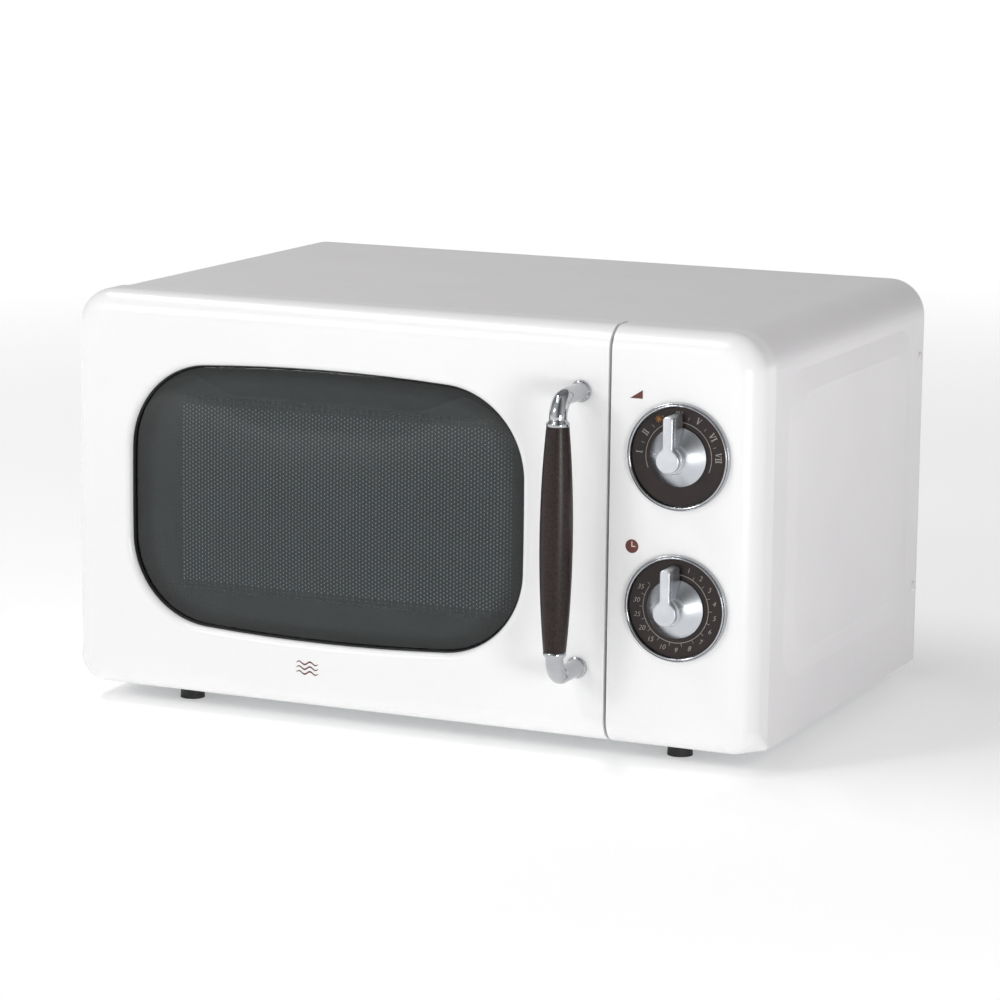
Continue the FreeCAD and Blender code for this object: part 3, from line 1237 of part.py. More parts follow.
def fan():
    """The cooling fan: duct frame, blades on their shaft, and motor."""
    size = ("fan_size", "fan_depth", "fan_size")
    middle = ("supply_place", "fan_y + fan_depth / 2", "fan_z")
    blank = block("fan_blank", size, middle)
    hole = cylinder("fan_hole", "fan_ring_radius", "fan_depth + 2",
                    ("supply_place", "fan_y - 1", "fan_z"), "y")
    bars = [block(f"fan_bar_{number}", rules, ("supply_place", "fan_y + 1.5", "fan_z"))
            for number, rules in enumerate((("fan_size - 4", "3", "9"), ("9", "3", "fan_size - 4")))]
    bearing = cylinder("fan_bearing", "fan_shaft_radius + running_fit", "5",
                       ("supply_place", "fan_y - 1", "fan_z"), "y")
    publish("fan_frame", cut("fan_duct", fuse("fan_duct_whole", cut("fan_tunnel", blank, hole),
                                              *bars), bearing))
    hub_start = "fan_y + 4.5"
    hub = cylinder("blade_hub", "fan_hub_radius", "14", ("supply_place", hub_start, "fan_z"), "y")
    rod = cylinder("blade_rod", "fan_shaft_radius", "fan_motor_depth / 2 + 8",
                   ("supply_place", hub_start, "fan_z"), "-y")
    blades = []
    for number in range(SIZES["blade_count"]):
        blade = block(f"blade_plain_{number}", ("blade_chord", "blade_wall",
                                                "fan_blade_radius - fan_hub_radius + 3"),
                      ("0", "0", "(fan_blade_radius + fan_hub_radius - 3) / 2"))
        pitched = group(f"blade_pitched_{number}", blade)
        pitched.Placement = Placement(Vector(), Rotation(Vector(0, 0, 1), size_of("blade_pitch")))
        turn = Rotation(Vector(0, 1, 0), 360 / SIZES["blade_count"] * number)
        blades.append(place(group(f"blade_{number}", pitched),
                            ("supply_place", f"{hub_start} + 7", "fan_z"), turn))
    trim = cylinder("blade_trim", "fan_blade_radius", "16", ("supply_place", f"{hub_start} - 1",
                                                          "fan_z"), "y")
    publish("fan_blade", fuse("blades", hub, rod, *[
        common(f"blade_trimmed_{number}", blade, trim) for number, blade in enumerate(blades)]))
    case = block("fan_motor_case", ("fan_motor_width", "fan_motor_depth", "fan_motor_height"),
                 ("supply_place", "fan_y - fan_motor_depth / 2", "fan_z"))
    bore = cylinder("fan_motor_bore", "fan_shaft_radius + running_fit",
                    "fan_motor_depth / 2 + 8", ("supply_place", "fan_y + 1", "fan_z"), "-y")
    publish("fan_motor", cut("fan_motor_cut", rounded("fan_motor_round", case, "4", along("y")),
                             bore))


def lamp():
    """The cavity's lamp and its holder, beside the cavity."""
    start = "cavity_right + sheet_wall"
    place_y = "cavity_face + lamp_place"
    holder = cylinder("lamp_holder", "lamp_radius + 1", "12",
                      (f"{start} + 16", f"{place_y} - lamp_length / 2 - 12 - part_gap",
                       "lamp_z"), "y")
    corners = [("0", "0"), ("0.6 * lamp_radius", "0"),
               ("lamp_radius", "0.4 * lamp_length"), ("lamp_radius", "0.75 * lamp_length"),
               ("0.5 * lamp_radius", "lamp_length"), ("0", "lamp_length")]
    bulb = turned("bulb", corners, (f"{start} + 16", f"{place_y} - lamp_length / 2",
                                    "lamp_z"), "y")
    publish("cavity_lamp", group("lamp_set", holder, bulb))


def filter_board():
    """The mains filter board on the rear panel, with its choke and capacitors."""
    back = "rear_plate - 6"
    board = block("board_plate", ("board_width", "board_wall", "board_height"),
                  ("supply_place", f"{back} - board_wall / 2", "board_z"))
    posts = [cylinder(f"board_post_{side}", "2.5", "6",
                      (f"supply_place + ({side}) * (board_width / 2 - 6)", back,
                       "board_z"), "y") for side in (-1, 1)]
    plate = fuse("board", board, *posts)
    face = f"{back} - board_wall"
    choke = ring("board_choke", "5", "11", "9", ("supply_place - 22", face,
                                                 "board_z"), "-y")
    cells = [block(f"board_cell_{number}", ("16", "12", "18"),
                   (f"supply_place + 4 + {number} * 20", f"{face} - 6",
                    "board_z")) for number in range(2)]
    publish("filter_board", group("board_set", plate, choke, *cells))


def cord_inlet():
    """The bushing in the rear panel where the mains cord would come in."""
    at = ("supply_place + 30", "rear_plate + sheet_wall + 1.2", "body_low + inlet_level")
    corners = [("inlet_bore", "0"), ("inlet_flange", "0"), ("inlet_flange", "1.2"),
               ("inlet_radius", "1.2"), ("inlet_radius", "9"), ("inlet_bore", "9")]
    publish("cord_inlet", turned("inlet", corners, at, "-y"))


# ---------------------------------------------------------------- build

def build():
    """Make every sub-part."""
    blank = bezel_solid("bezel", "0")
    hollow = bezel_solid("bezel_inside", "shell_wall")
    door_outer_frame(blank, hollow)
    door_window()
    door_screen()
    door_inner_plate()
    door_choke_cover()
    door_film()
    handle_bracket("handle_upper", "handle_top", 1)
    handle_bracket("handle_lower", "handle_foot", -1)
    handle_grip()
    handle_screws()
    hook_plate()
    latch_spring()
    latch_board()
    door_switches()
    control_panel(blank, hollow)
    dial("power", "power_z")
    dial("timer", "timer_z")
    control_units()
    outer_cover()
    cover_screws()
    rear_panel()
    base_plate()
    feet()
    front_frame()
    hinge_bracket("hinge_upper", "hinge_high_z", 1)
    hinge_bracket("hinge_lower", "hinge_low_z", -1)
    oven_cavity()
    waveguide()
    waveguide_cover()
    turntable_motor()
    turntable_coupler()
    glass_tray()
    roller_ring()
    rollers()
    magnetron()
    transformer()
    capacitor()
    fan()
    lamp()
    filter_board()
    cord_inlet()


def check():
    """Stop if any object failed or any sub-part's shape isn't sound."""
    faults = [thing.Name for thing in DOC.Objects
              if "Invalid" in thing.State or "Error" in thing.State]
    for thing in PARTS:
        shape = thing.Shape
        if shape.isNull() or not shape.isValid() or not shape.Solids:
            faults.append(thing.Label)
    if faults:
        raise RuntimeError("unsound objects: " + ", ".join(faults))


def write():
    """Write each sub-part to its own file."""
    os.makedirs("parts", exist_ok=True)
    for thing in PARTS:
        thing.Shape.exportStep(f"parts/{thing.Label}.step")


fill_sheet()
build()
DOC.recompute()
check()
write()
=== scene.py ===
"""A white countertop microwave oven with two dials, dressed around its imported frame."""

import logging
import math
from dataclasses import dataclass
from enum import Enum
from typing import Any, Iterable, Mapping, Optional, Sequence

import bmesh
import bpy
import numpy as np
from mathutils import Matrix, Vector


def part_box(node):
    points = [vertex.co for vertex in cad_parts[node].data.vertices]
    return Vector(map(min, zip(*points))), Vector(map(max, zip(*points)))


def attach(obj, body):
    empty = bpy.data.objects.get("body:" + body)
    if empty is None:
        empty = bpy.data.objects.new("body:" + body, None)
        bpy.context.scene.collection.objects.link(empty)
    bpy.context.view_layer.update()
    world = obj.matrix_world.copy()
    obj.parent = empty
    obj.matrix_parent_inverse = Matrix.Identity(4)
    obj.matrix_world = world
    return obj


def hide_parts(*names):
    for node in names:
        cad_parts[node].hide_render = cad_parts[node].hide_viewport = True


LOG = logging.getLogger("oven")
MM = 0.001
Array = np.ndarray

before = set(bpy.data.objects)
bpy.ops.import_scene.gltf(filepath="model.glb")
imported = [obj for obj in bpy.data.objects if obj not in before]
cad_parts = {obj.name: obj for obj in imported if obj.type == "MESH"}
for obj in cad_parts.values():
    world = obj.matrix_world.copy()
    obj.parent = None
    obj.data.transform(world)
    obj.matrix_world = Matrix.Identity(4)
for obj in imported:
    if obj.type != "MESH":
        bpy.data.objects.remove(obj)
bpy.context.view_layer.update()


# ---------------------------------------------------------------- shader nodes

def linear(code: str) -> tuple[float, float, float, float]:
    """Turns an sRGB hex colour into linear light.

    Args:
        code: Six hex digits, such as "F2F2F0".

    Returns:
        Red, green, blue and an alpha of 1.
    """
    parts = [int(code[k:k + 2], 16) / 255 for k in (0, 2, 4)]
    light = [c / 12.92 if c <= 0.04045 else ((c + 0.055) / 1.055) ** 2.4 for c in parts]
    return (*light, 1.0)


def add_node(tree: bpy.types.NodeTree, kind: str, settings: Optional[Mapping[Any, Any]] = None,
             links: Optional[Mapping[Any, bpy.types.NodeSocket]] = None) -> bpy.types.Node:
    """Adds one node with its settings and links.

    Args:
        tree: The node tree.
        kind: The node's type, without the word ShaderNode.
        settings: Values by the name of a property or input, or by an input's number.
        links: Output sockets by the name or number of the input that they feed.

    Returns:
        The new node.
    """
    node = tree.nodes.new("ShaderNode" + kind)
    for key, value in (settings or {}).items():
        if isinstance(key, str) and hasattr(node, key):
            setattr(node, key, value)
        else:
            node.inputs[key].default_value = value
    for key, source in (links or {}).items():
        tree.links.new(source, node.inputs[key])
    return node


def tinted(tree: bpy.types.NodeTree, first: str, second: str,
           share: bpy.types.NodeSocket) -> bpy.types.NodeSocket:
    """Mixes two colours by a share that varies over the surface.

    Args:
        tree: The node tree.
        first: The hex colour at a share of 0.
        second: The hex colour at a share of 1.
        share: The socket that gives the share.

    Returns:
        The socket of the mixed colour.
    """
    mix = add_node(tree, "Mix", {"data_type": "RGBA", 6: linear(first), 7: linear(second)},
                   {0: share})
    return mix.outputs[2]


def plug(tree: bpy.types.NodeTree, shader: bpy.types.Node,
         sources: Mapping[str, bpy.types.NodeSocket]) -> None:
    """Links sockets to a shader's inputs.

    Args:
        tree: The node tree.
        shader: The shader that is fed.
        sources: Output sockets by the name of the input that they feed.
    """
    for name, source in sources.items():
        tree.links.new(source, shader.inputs[name])


# ---------------------------------------------------------------- finishes

@dataclass(frozen=True)
class Finish:
    """A material as it comes to the eye: what it is, and how its surface was made."""

    name: str
    colour: str
    roughness: float
    metallic: float = 0.0
    ior: float = 1.5
    coat: float = 0.0
    transmission: float = 0.0
    anisotropy: float = 0.0
    sheen: float = 0.0
    specular: float = 0.5
    glow: float = 0.0

    def material(self) -> bpy.types.Material:
        """Makes the material, or finds it if it was made before.

        Returns:
            The material.
        """
        found = bpy.data.materials.get(self.name)
        if found:
            return found
        made = bpy.data.materials.new(self.name)
        made.use_nodes = True
        tree = made.node_tree
        tree.nodes.clear()
        values = {"Base Color": linear(self.colour), "Metallic": self.metallic,
                  "Roughness": self.roughness,
                  "Coat Weight": self.coat, "Coat Roughness": 0.08,
                  "Transmission Weight": self.transmission,
                  "Anisotropic": self.anisotropy, "Sheen Weight": self.sheen,
                  "Specular IOR Level": self.specular, "Emission Strength": self.glow,
                  "Emission Color": linear(self.colour)}
        if not self.metallic:
            values["IOR"] = self.ior
        shader = add_node(tree, "BsdfPrincipled", values)
        add_node(tree, "OutputMaterial", links={"Surface": shader.outputs[0]})
        self.pattern(tree, shader)
        return made

    def pattern(self, tree: bpy.types.NodeTree, shader: bpy.types.Node) -> None:
        """Adds the surface's own pattern; the plain finish has none.

        Args:
            tree: The material's node tree.
            shader: Its principled shader.
        """


@dataclass(frozen=True)
class Grained(Finish):
    """An all-over fine texture with slow drifts of colour, as on moulded or sprayed parts.

    grain is the size of the texture and patch that of the drifts, both in millimetres;
    depth is the texture's height in millimetres; stretch lengthens it along X, Y and Z.
    """

    shade: str = "000000"
    grain: float = 1.0
    depth: float = 0.01
    patch: float = 60.0
    stretch: tuple[float, float, float] = (1.0, 1.0, 1.0)
    detail: float = 3.0
    gloss_spread: float = 0.06

    def pattern(self, tree: bpy.types.NodeTree, shader: bpy.types.Node) -> None:
        """Noise of the grain's size lifts the surface and varies its gloss.

        Args:
            tree: The material's node tree.
            shader: Its principled shader.
        """
        where = add_node(tree, "TexCoord")
        along = add_node(tree, "Mapping", {"Scale": [1 / s for s in self.stretch]},
                         {"Vector": where.outputs["Object"]})
        fine = add_node(tree, "TexNoise", {"Scale": 1 / (self.grain * MM), "Detail": self.detail},
                        {"Vector": along.outputs[0]})
        slow = add_node(tree, "TexNoise", {"Scale": 1 / (self.patch * MM), "Detail": 2.0},
                        {"Vector": along.outputs[0]})
        both = add_node(tree, "Math", {"operation": "MULTIPLY_ADD", 1: 0.35},
                        {0: fine.outputs[0], 2: slow.outputs[0]})
        share = add_node(tree, "MapRange", {"From Min": 0.4, "From Max": 0.95},
                         {"Value": both.outputs[0]})
        tint = tinted(tree, self.colour, self.shade, share.outputs[0])
        gloss = add_node(tree, "MapRange", {"From Min": 0.3, "From Max": 0.7,
                                            "To Min": max(0.02, self.roughness - self.gloss_spread),
                                            "To Max": self.roughness + self.gloss_spread},
                         {"Value": slow.outputs[0]})
        lift = add_node(tree, "Bump", {"Distance": self.depth * MM, "Strength": 1.0},
                        {"Height": fine.outputs[0]})
        plug(tree, shader, {"Base Color": tint, "Roughness": gloss.outputs[0],
                            "Normal": lift.outputs[0]})


@dataclass(frozen=True)
class Spangled(Finish):
    """Flat flakes side by side, as zinc crystals or split mica show them.

    flake is the size of a flake in millimetres, and shade the darkest flake's colour.
    """

    shade: str = "808080"
    flake: float = 6.0
    depth: float = 0.004

    def pattern(self, tree: bpy.types.NodeTree, shader: bpy.types.Node) -> None:
        """Each cell of a Voronoi pattern gets its own grey and its own gloss.

        Args:
            tree: The material's node tree.
            shader: Its principled shader.
        """
        where = add_node(tree, "TexCoord")
        cells = add_node(tree, "TexVoronoi", {"Scale": 1 / (self.flake * MM)},
                         {"Vector": where.outputs["Object"]})
        one = add_node(tree, "SeparateColor", links={0: cells.outputs["Color"]})
        tint = tinted(tree, self.colour, self.shade, one.outputs[0])
        gloss = add_node(tree, "MapRange", {"To Min": self.roughness - 0.08,
                                            "To Max": self.roughness + 0.12},
                         {"Value": one.outputs[1]})
        lift = add_node(tree, "Bump", {"Distance": self.depth * MM, "Strength": 0.6},
                        {"Height": cells.outputs["Distance"]})
        plug(tree, shader, {"Base Color": tint, "Roughness": gloss.outputs[0],
                            "Normal": lift.outputs[0]})


class Axis(Enum):
    """The direction along which a banded finish repeats."""

    X = "X"
    Y = "Y"
    Z = "Z"


@dataclass(frozen=True)
class Banded(Finish):
    """Even bands, as stacked sheets or turns of wire show them; pitch is in millimetres."""

    shade: str = "303030"
    pitch: float = 1.0
    depth: float = 0.1
    across: Axis = Axis.Z
    waver: float = 0.3

    def pattern(self, tree: bpy.types.NodeTree, shader: bpy.types.Node) -> None:
        """A wave of the pitch's length darkens and lifts each band.

        Args:
            tree: The material's node tree.
            shader: Its principled shader.
        """
        where = add_node(tree, "TexCoord")
        # one wave of this texture is 20/pi units long at a scale of 1, divided by 20
        wave = add_node(tree, "TexWave", {"wave_type": "BANDS",
                                          "bands_direction": self.across.value,
                                          "Scale": math.pi / 10 / (self.pitch * MM),
                                          "Distortion": self.waver, "Detail": 1.0},
                        {"Vector": where.outputs["Object"]})
        tint = tinted(tree, self.shade, self.colour, wave.outputs[1])
        lift = add_node(tree, "Bump", {"Distance": self.depth * MM, "Strength": 1.0},
                        {"Height": wave.outputs[1]})
        plug(tree, shader, {"Base Color": tint, "Normal": lift.outputs[0]})


@dataclass(frozen=True)
class Turned(Finish):
    """Metal finished on a lathe: fine rings that draw each highlight out into a wedge.

    rings is the number of rings over the piece's own profile.
    """

    rings: float = 160.0
    shade: str = "909296"

    def pattern(self, tree: bpy.types.NodeTree, shader: bpy.types.Node) -> None:
        """Noise that runs only along the profile, with the rings as the tangent.

        Args:
            tree: The material's node tree.
            shader: Its principled shader.
        """
        where = add_node(tree, "UVMap", {"uv_map": "profile"})
        along = add_node(tree, "Mapping", {"Scale": (3.0, self.rings, 1.0)},
                         {"Vector": where.outputs[0]})
        rings = add_node(tree, "TexNoise", {"Scale": 1.0, "Detail": 2.0},
                         {"Vector": along.outputs[0]})
        turn = add_node(tree, "Tangent", {"direction_type": "UV_MAP", "uv_map": "profile"})
        tint = tinted(tree, self.shade, self.colour, rings.outputs[0])
        lift = add_node(tree, "Bump", {"Distance": 0.004 * MM, "Strength": 0.7},
                        {"Height": rings.outputs[0]})
        plug(tree, shader, {"Base Color": tint, "Tangent": turn.outputs[0],
                            "Normal": lift.outputs[0]})


@dataclass(frozen=True)
class EdgeTinted(Finish):
    """Tinted glass darkened towards its edge by painted shade, which fades inwards.

    border is the share of the way from the middle to the edge where the painted shade begins.
    """

    shade: str = "15191B"
    border: float = 0.86

    def pattern(self, tree: bpy.types.NodeTree, shader: bpy.types.Node) -> None:
        """The painted edge shade follows the piece's own profile coordinate.

        Args:
            tree: The material's node tree.
            shader: Its principled shader.
        """
        where = add_node(tree, "UVMap", {"uv_map": "profile"})
        split = add_node(tree, "SeparateXYZ", links={0: where.outputs[0]})
        # the profile runs over the front to the edge and back to the middle behind
        fold = add_node(tree, "Math", {"operation": "PINGPONG", 1: 0.5}, {0: split.outputs[1]})
        # painted shade: the pane's colour darkens towards its edge
        edge = add_node(tree, "MapRange", {"interpolation_type": "SMOOTHSTEP",
                                           "From Min": self.border / 2, "From Max": 0.5},
                        {"Value": fold.outputs[0]})
        tint = tinted(tree, self.colour, self.shade, edge.outputs[0])
        plug(tree, shader, {"Base Color": tint})


@dataclass(frozen=True)
class LitFloor(Finish):
    """A matt floor lit from below, more strongly away from the oven; distances in metres."""

    near: float = 0.8
    far: float = 3.0
    far_glow: float = 0.8

    def pattern(self, tree: bpy.types.NodeTree, shader: bpy.types.Node) -> None:
        """The glow grows with the distance from the oven.

        Args:
            tree: The material's node tree.
            shader: Its principled shader.
        """
        where = add_node(tree, "TexCoord")
        reach = add_node(tree, "VectorMath", {"operation": "LENGTH"},
                         {0: where.outputs["Object"]})
        glow = add_node(tree, "MapRange", {"interpolation_type": "SMOOTHSTEP",
                                           "From Min": self.near, "From Max": self.far,
                                           "To Min": self.glow, "To Max": self.far_glow},
                        {"Value": reach.outputs["Value"]})
        plug(tree, shader, {"Emission Strength": glow.outputs[0]})


# ABS, injection moulded and polished: an even cool white with a soft, wide shine
WHITE_ABS = Grained("White ABS, moulded", "EFEFEF", 0.26, ior=1.53, coat=0.15, shade="EDEDED",
                    grain=2.4, depth=0.004, patch=90.0, gloss_spread=0.01)
# sheet steel, powder coated: the fine ripple of the powder breaks up reflections
WHITE_STEEL = Grained("White steel, powder coated", "E7E5E6", 0.36, ior=1.5, shade="E3E1E3",
                      grain=1.4, depth=0.008, patch=70.0, gloss_spread=0.03)
# polycarbonate, tinted through, with painted shade towards its edge: reads as deep teal-grey over
# the dark sheet
TINTED_PANE = EdgeTinted("Tinted pane, moulded", "A3AEB1", 0.03, ior=1.49, transmission=1.0,
                         shade="3E4648")
# ABS, moulded with a fine spark texture: a dry black
BLACK_ABS = Grained("Black ABS, spark textured", "18191A", 0.5, ior=1.53, shade="202122",
                    grain=0.6, depth=0.02, patch=30.0)
# sheet steel, punched and enamelled dark grey: nearly matt, and far darker behind the tinted pane
DARK_SCREEN = Grained("Dark steel, punched and enamelled", "41484A", 0.5, shade="3A4143",
                      grain=0.8, depth=0.008, patch=25.0)
# sheet steel, hot-dip galvanised: pale crystals the size of a fingernail
ZINC_STEEL = Spangled("Galvanised steel, rolled", "B9BDBF", 0.38, metallic=1.0, shade="989DA1",
                      flake=7.0)
# sheet steel, grey-white vitreous enamel: a hard gloss with small specks
CAVITY_ENAMEL = Grained("Cavity enamel, sprayed and fired", "D4D6D5", 0.24, ior=1.55, coat=0.3,
                        shade="BFC3C4", grain=1.1, depth=0.008, patch=14.0)
# polyester film, frosted: milky, with a weak glow that stands for light passed on from behind it
MILKY_FILM = Grained("Polyester film, frosted", "C4CCCD", 0.45, ior=1.57, shade="B6BEC0",
                     grain=0.9, depth=0.002, patch=20.0, glow=0.44)
# zinc casting, polished and chrome plated: dark and light bands that follow the form
CHROME = Grained("Chrome plate, polished", "B9BBBE", 0.06, metallic=1.0, shade="B3B5B8",
                 grain=3.0, depth=0.0002, patch=18.0, gloss_spread=0.02)
# phenolic resin, moulded with a leather-like grain: near black with warm brown lights
BROWN_PHENOLIC = Grained("Brown phenolic, grained", "0E0807", 0.34, ior=1.5, specular=0.3,
                         shade="30221F", grain=0.7, depth=0.05, patch=1.6, detail=2.0)
# aluminium, turned and satin anodised: wedges of light around the cone
SATIN_KNOB = Turned("Anodised aluminium, turned", "D3D6DA", 0.27, metallic=1.0, anisotropy=0.75,
                    shade="BCC0C5")
# aluminium, blasted and anodised: an even, quiet silver
SATIN_FIN = Grained("Anodised aluminium, blasted", "D9DBDF", 0.33, metallic=1.0, shade="CDD0D4",
                    grain=0.5, depth=0.004, patch=9.0)
# polycarbonate disc, back-printed dark brown: flat and slightly silky
BROWN_FACE = Grained("Dial disc, printed", "2A211F", 0.42, ior=1.5, specular=0.35,
                     shade="251D1B", grain=0.7, depth=0.004, patch=12.0)
# screen-printed ink, pale grey: thin, with soft breaks where the mesh showed through
PALE_INK = Grained("Pale ink, screen printed", "A8A29C", 0.5, shade="8E8882", grain=0.5,
                   depth=0.004, patch=2.0)
# screen-printed ink, orange
ORANGE_INK = Grained("Orange ink, screen printed", "D08A2E", 0.5, shade="B87420", grain=0.5,
                     depth=0.004, patch=2.0)
# pad-printed ink, red-brown, on the white plastic
BROWN_INK = Grained("Brown ink, pad printed", "6E3A33", 0.45, shade="5C2E29", grain=0.6,
                    depth=0.004, patch=4.0)
# pad-printed ink, pale pink, for the hands over the brown clock
PINK_INK = Grained("Pale pink ink, pad printed", "E9CFC6", 0.45, shade="E0C2B8", grain=0.6,
                   depth=0.003, patch=3.0)
# rubber, compression moulded: a dull black with fine pores
RUBBER = Grained("Black rubber, moulded", "131314", 0.62, ior=1.52, shade="1D1D1E", grain=0.5,
                 depth=0.03, patch=6.0, sheen=0.1)
# mica, split and pressed: brown-gold flakes with a satin shine
MICA = Spangled("Mica sheet, pressed", "A79A83", 0.35, ior=1.58, shade="7F7360", flake=5.0)
# borosilicate glass, pressed: clear, faintly rippled
TRAY_GLASS = Grained("Clear glass, pressed", "EEF5F3", 0.03, ior=1.47, transmission=1.0,
                     shade="E6F0EC", grain=9.0, depth=0.03, patch=40.0, gloss_spread=0.01)
# polypropylene, grey: waxy
GREY_PP = Grained("Grey polypropylene, moulded", "7C8082", 0.48, ior=1.49, shade="6F7375",
                  grain=0.8, depth=0.012, patch=20.0)
# polypropylene, white: waxy and slightly see-through
WHITE_PP = Grained("White polypropylene, moulded", "DEDFDB", 0.42, ior=1.49, shade="D0D2CD",
                   grain=0.8, depth=0.01, patch=18.0)
# aluminium sheet, drawn: a soft grey with lengthwise lines
DRAWN_ALUMINIUM = Grained("Aluminium, drawn", "C2C5C8", 0.36, metallic=1.0, shade="AEB2B6",
                          grain=0.5, depth=0.006, patch=15.0, stretch=(1.0, 1.0, 14.0))
# ferrite ring, sintered: a dense dark grey
FERRITE = Grained("Ferrite, sintered", "34363A", 0.7, ior=2.0, shade="26282B", grain=0.5,
                  depth=0.02, patch=5.0)
# silicon steel sheets, stacked and dipped in varnish; drawn coarser than the real half millimetre
LAMINATIONS = Banded("Steel laminations, varnished", "6B625A", 0.4, metallic=0.6, shade="3A342F",
                     pitch=1.0, depth=0.12, across=Axis.Y, waver=0.1)
# enamelled copper wire, wound: red-brown turns
COPPER_TURNS = Banded("Copper wire, enamelled and wound", "A5572B", 0.3, metallic=0.9,
                      shade="4E2413", pitch=1.3, depth=0.35, across=Axis.Z, waver=0.5)
# glass-fibre board with solder mask: green with paler tracks
GREEN_BOARD = Banded("Circuit board, solder masked", "2F6B45", 0.35, ior=1.55, shade="1F4F32",
                     pitch=3.2, depth=0.03, across=Axis.X, waver=3.0)
# soda-lime glass bulb in a white ceramic holder
LAMP_GLASS = Grained("Lamp glass and ceramic", "E8E4D6", 0.18, ior=1.52, coat=0.4,
                     shade="DCD6C4", grain=1.5, depth=0.01, patch=10.0)
# music wire, drawn: bright with lengthwise lines
SPRING_STEEL = Grained("Spring steel, drawn", "9DA1A5", 0.28, metallic=1.0, shade="858A8F",
                       grain=0.4, depth=0.004, patch=4.0)


# ---------------------------------------------------------------- surfaces

@dataclass
class Patch:
    """Corner points in millimetres, quads of their numbers, and a profile UV per quad corner."""

    points: Array
    quads: Array
    uv: Array


def grid(points: Array, round_u: bool = True) -> Patch:
    """Quads over a grid of points: rows run along the profile and columns go round.

    Args:
        points: Array of rows, columns and 3.
        round_u: Whether the last column joins the first.

    Returns:
        The patch; its UV is the share of the way round and the share along the profile.
    """
    rows, cols = points.shape[:2]
    last = cols if round_u else cols - 1
    row, col = np.meshgrid(np.arange(rows - 1), np.arange(last), indexing="ij")
    nxt = (col + 1) % cols
    quads = np.stack([row * cols + col, row * cols + nxt, (row + 1) * cols + nxt,
                      (row + 1) * cols + col], axis=-1).reshape(-1, 4)
    step = np.linalg.norm(np.diff(points, axis=0), axis=-1).max(axis=1)
    along = np.concatenate([[0.0], np.cumsum(step)]) / max(step.sum(), 1e-9)
    u = np.stack([col, col + 1, col + 1, col], axis=-1) / last
    v = np.stack([along[row], along[row], along[row + 1], along[row + 1]], axis=-1)
    return Patch(points.reshape(-1, 3), quads, np.stack([u, v], axis=-1).reshape(-1, 4, 2))


def prisms(shapes: Array, low: float, high: float) -> Patch:
    """Flat four-sided shapes given a thickness from low to high along Y.

    Args:
        shapes: Array of shapes, 4 corners and X, Z.
        low: The Y of one face.
        high: The Y of the other.

    Returns:
        One closed box for each shape.
    """
    count = len(shapes)
    ends = [np.stack([shapes[..., 0], np.full(shapes.shape[:2], y), shapes[..., 1]], axis=-1)
            for y in (low, high)]
    points = np.concatenate(ends, axis=1).reshape(-1, 3)
    box = np.array([[0, 1, 2, 3], [7, 6, 5, 4], [0, 4, 5, 1], [1, 5, 6, 2], [2, 6, 7, 3],
                    [3, 7, 4, 0]])
    quads = (np.arange(count)[:, None, None] * 8 + box).reshape(-1, 4)
    uv = np.tile(np.array([[0, 0], [1, 0], [1, 1], [0, 1]], float), (len(quads), 1, 1))
    return Patch(points, quads, uv)


def spun(radii: Array, heights: Array, centre: Sequence[float], axis: Array, count: int) -> Patch:
    """A profile carried round an axis: centre + axis h + r (side cos a + other sin a).

    Args:
        radii: Distances from the axis, in millimetres.
        heights: Distances along the axis.
        centre: The axis's foot.
        axis: Its direction, of unit length.
        count: Points round the circle.

    Returns:
        The surface of revolution.
    """
    side = np.array([1.0, 0, 0]) if abs(axis[0]) < 0.9 else np.array([0, 1.0, 0])
    other = np.cross(axis, side)
    turn = np.linspace(0, 2 * np.pi, count, endpoint=False)
    ring = np.cos(turn)[:, None] * side + np.sin(turn)[:, None] * other
    points = (np.asarray(centre) + np.asarray(heights, float)[:, None, None] * axis
              + np.asarray(radii, float)[:, None, None] * ring)
    return grid(points)


def rounded_profile(corners: Sequence[tuple[float, float, float]], steps: int = 6
                    ) -> tuple[Array, Array]:
    """A profile of straight runs whose corners are rounded by a quadratic curve.

    Each corner is (radius, height, rounding); a rounded corner becomes the curve
    (1-t)^2 A + 2 t (1-t) P + t^2 B between points A and B, the rounding's distance away.

    Args:
        corners: The corners in order.
        steps: Points along each rounded corner.

    Returns:
        Radii and heights.
    """
    at = np.array(corners, float)[:, :2]
    size = np.array(corners, float)[:, 2]
    ahead = np.roll(at, -1, axis=0) - at
    ahead = ahead / np.maximum(np.linalg.norm(ahead, axis=1, keepdims=True), 1e-9)
    start = at - np.roll(ahead, 1, axis=0) * size[:, None]
    stop = at + ahead * size[:, None]
    t = np.linspace(0, 1, steps)[None, :, None]
    curve = (1 - t) ** 2 * start[:, None] + 2 * t * (1 - t) * at[:, None] + t ** 2 * stop[:, None]
    keep = np.ones((len(at), steps), bool)
    keep[size == 0, 1:] = False
    curve[size == 0] = at[size == 0][:, None]
    found = curve[keep]
    return found[:, 0], found[:, 1]


def swept(path: Array, outward: Array, radii: Array, count: int) -> Patch:
    """A circle carried along a flat path: path + r (X cos a + outward sin a).

    Args:
        path: Centres, in a plane of constant X.
        outward: Unit directions across the path in that plane.
        radii: The circle's radius at each centre.
        count: Points round the circle.

    Returns:
        The tube.
    """
    turn = np.linspace(0, 2 * np.pi, count, endpoint=False)
    across = (np.cos(turn)[None, :, None] * np.array([1.0, 0, 0])
              + np.sin(turn)[None, :, None] * outward[:, None, :])
    return grid(path[:, None, :] + radii[:, None, None] * across)


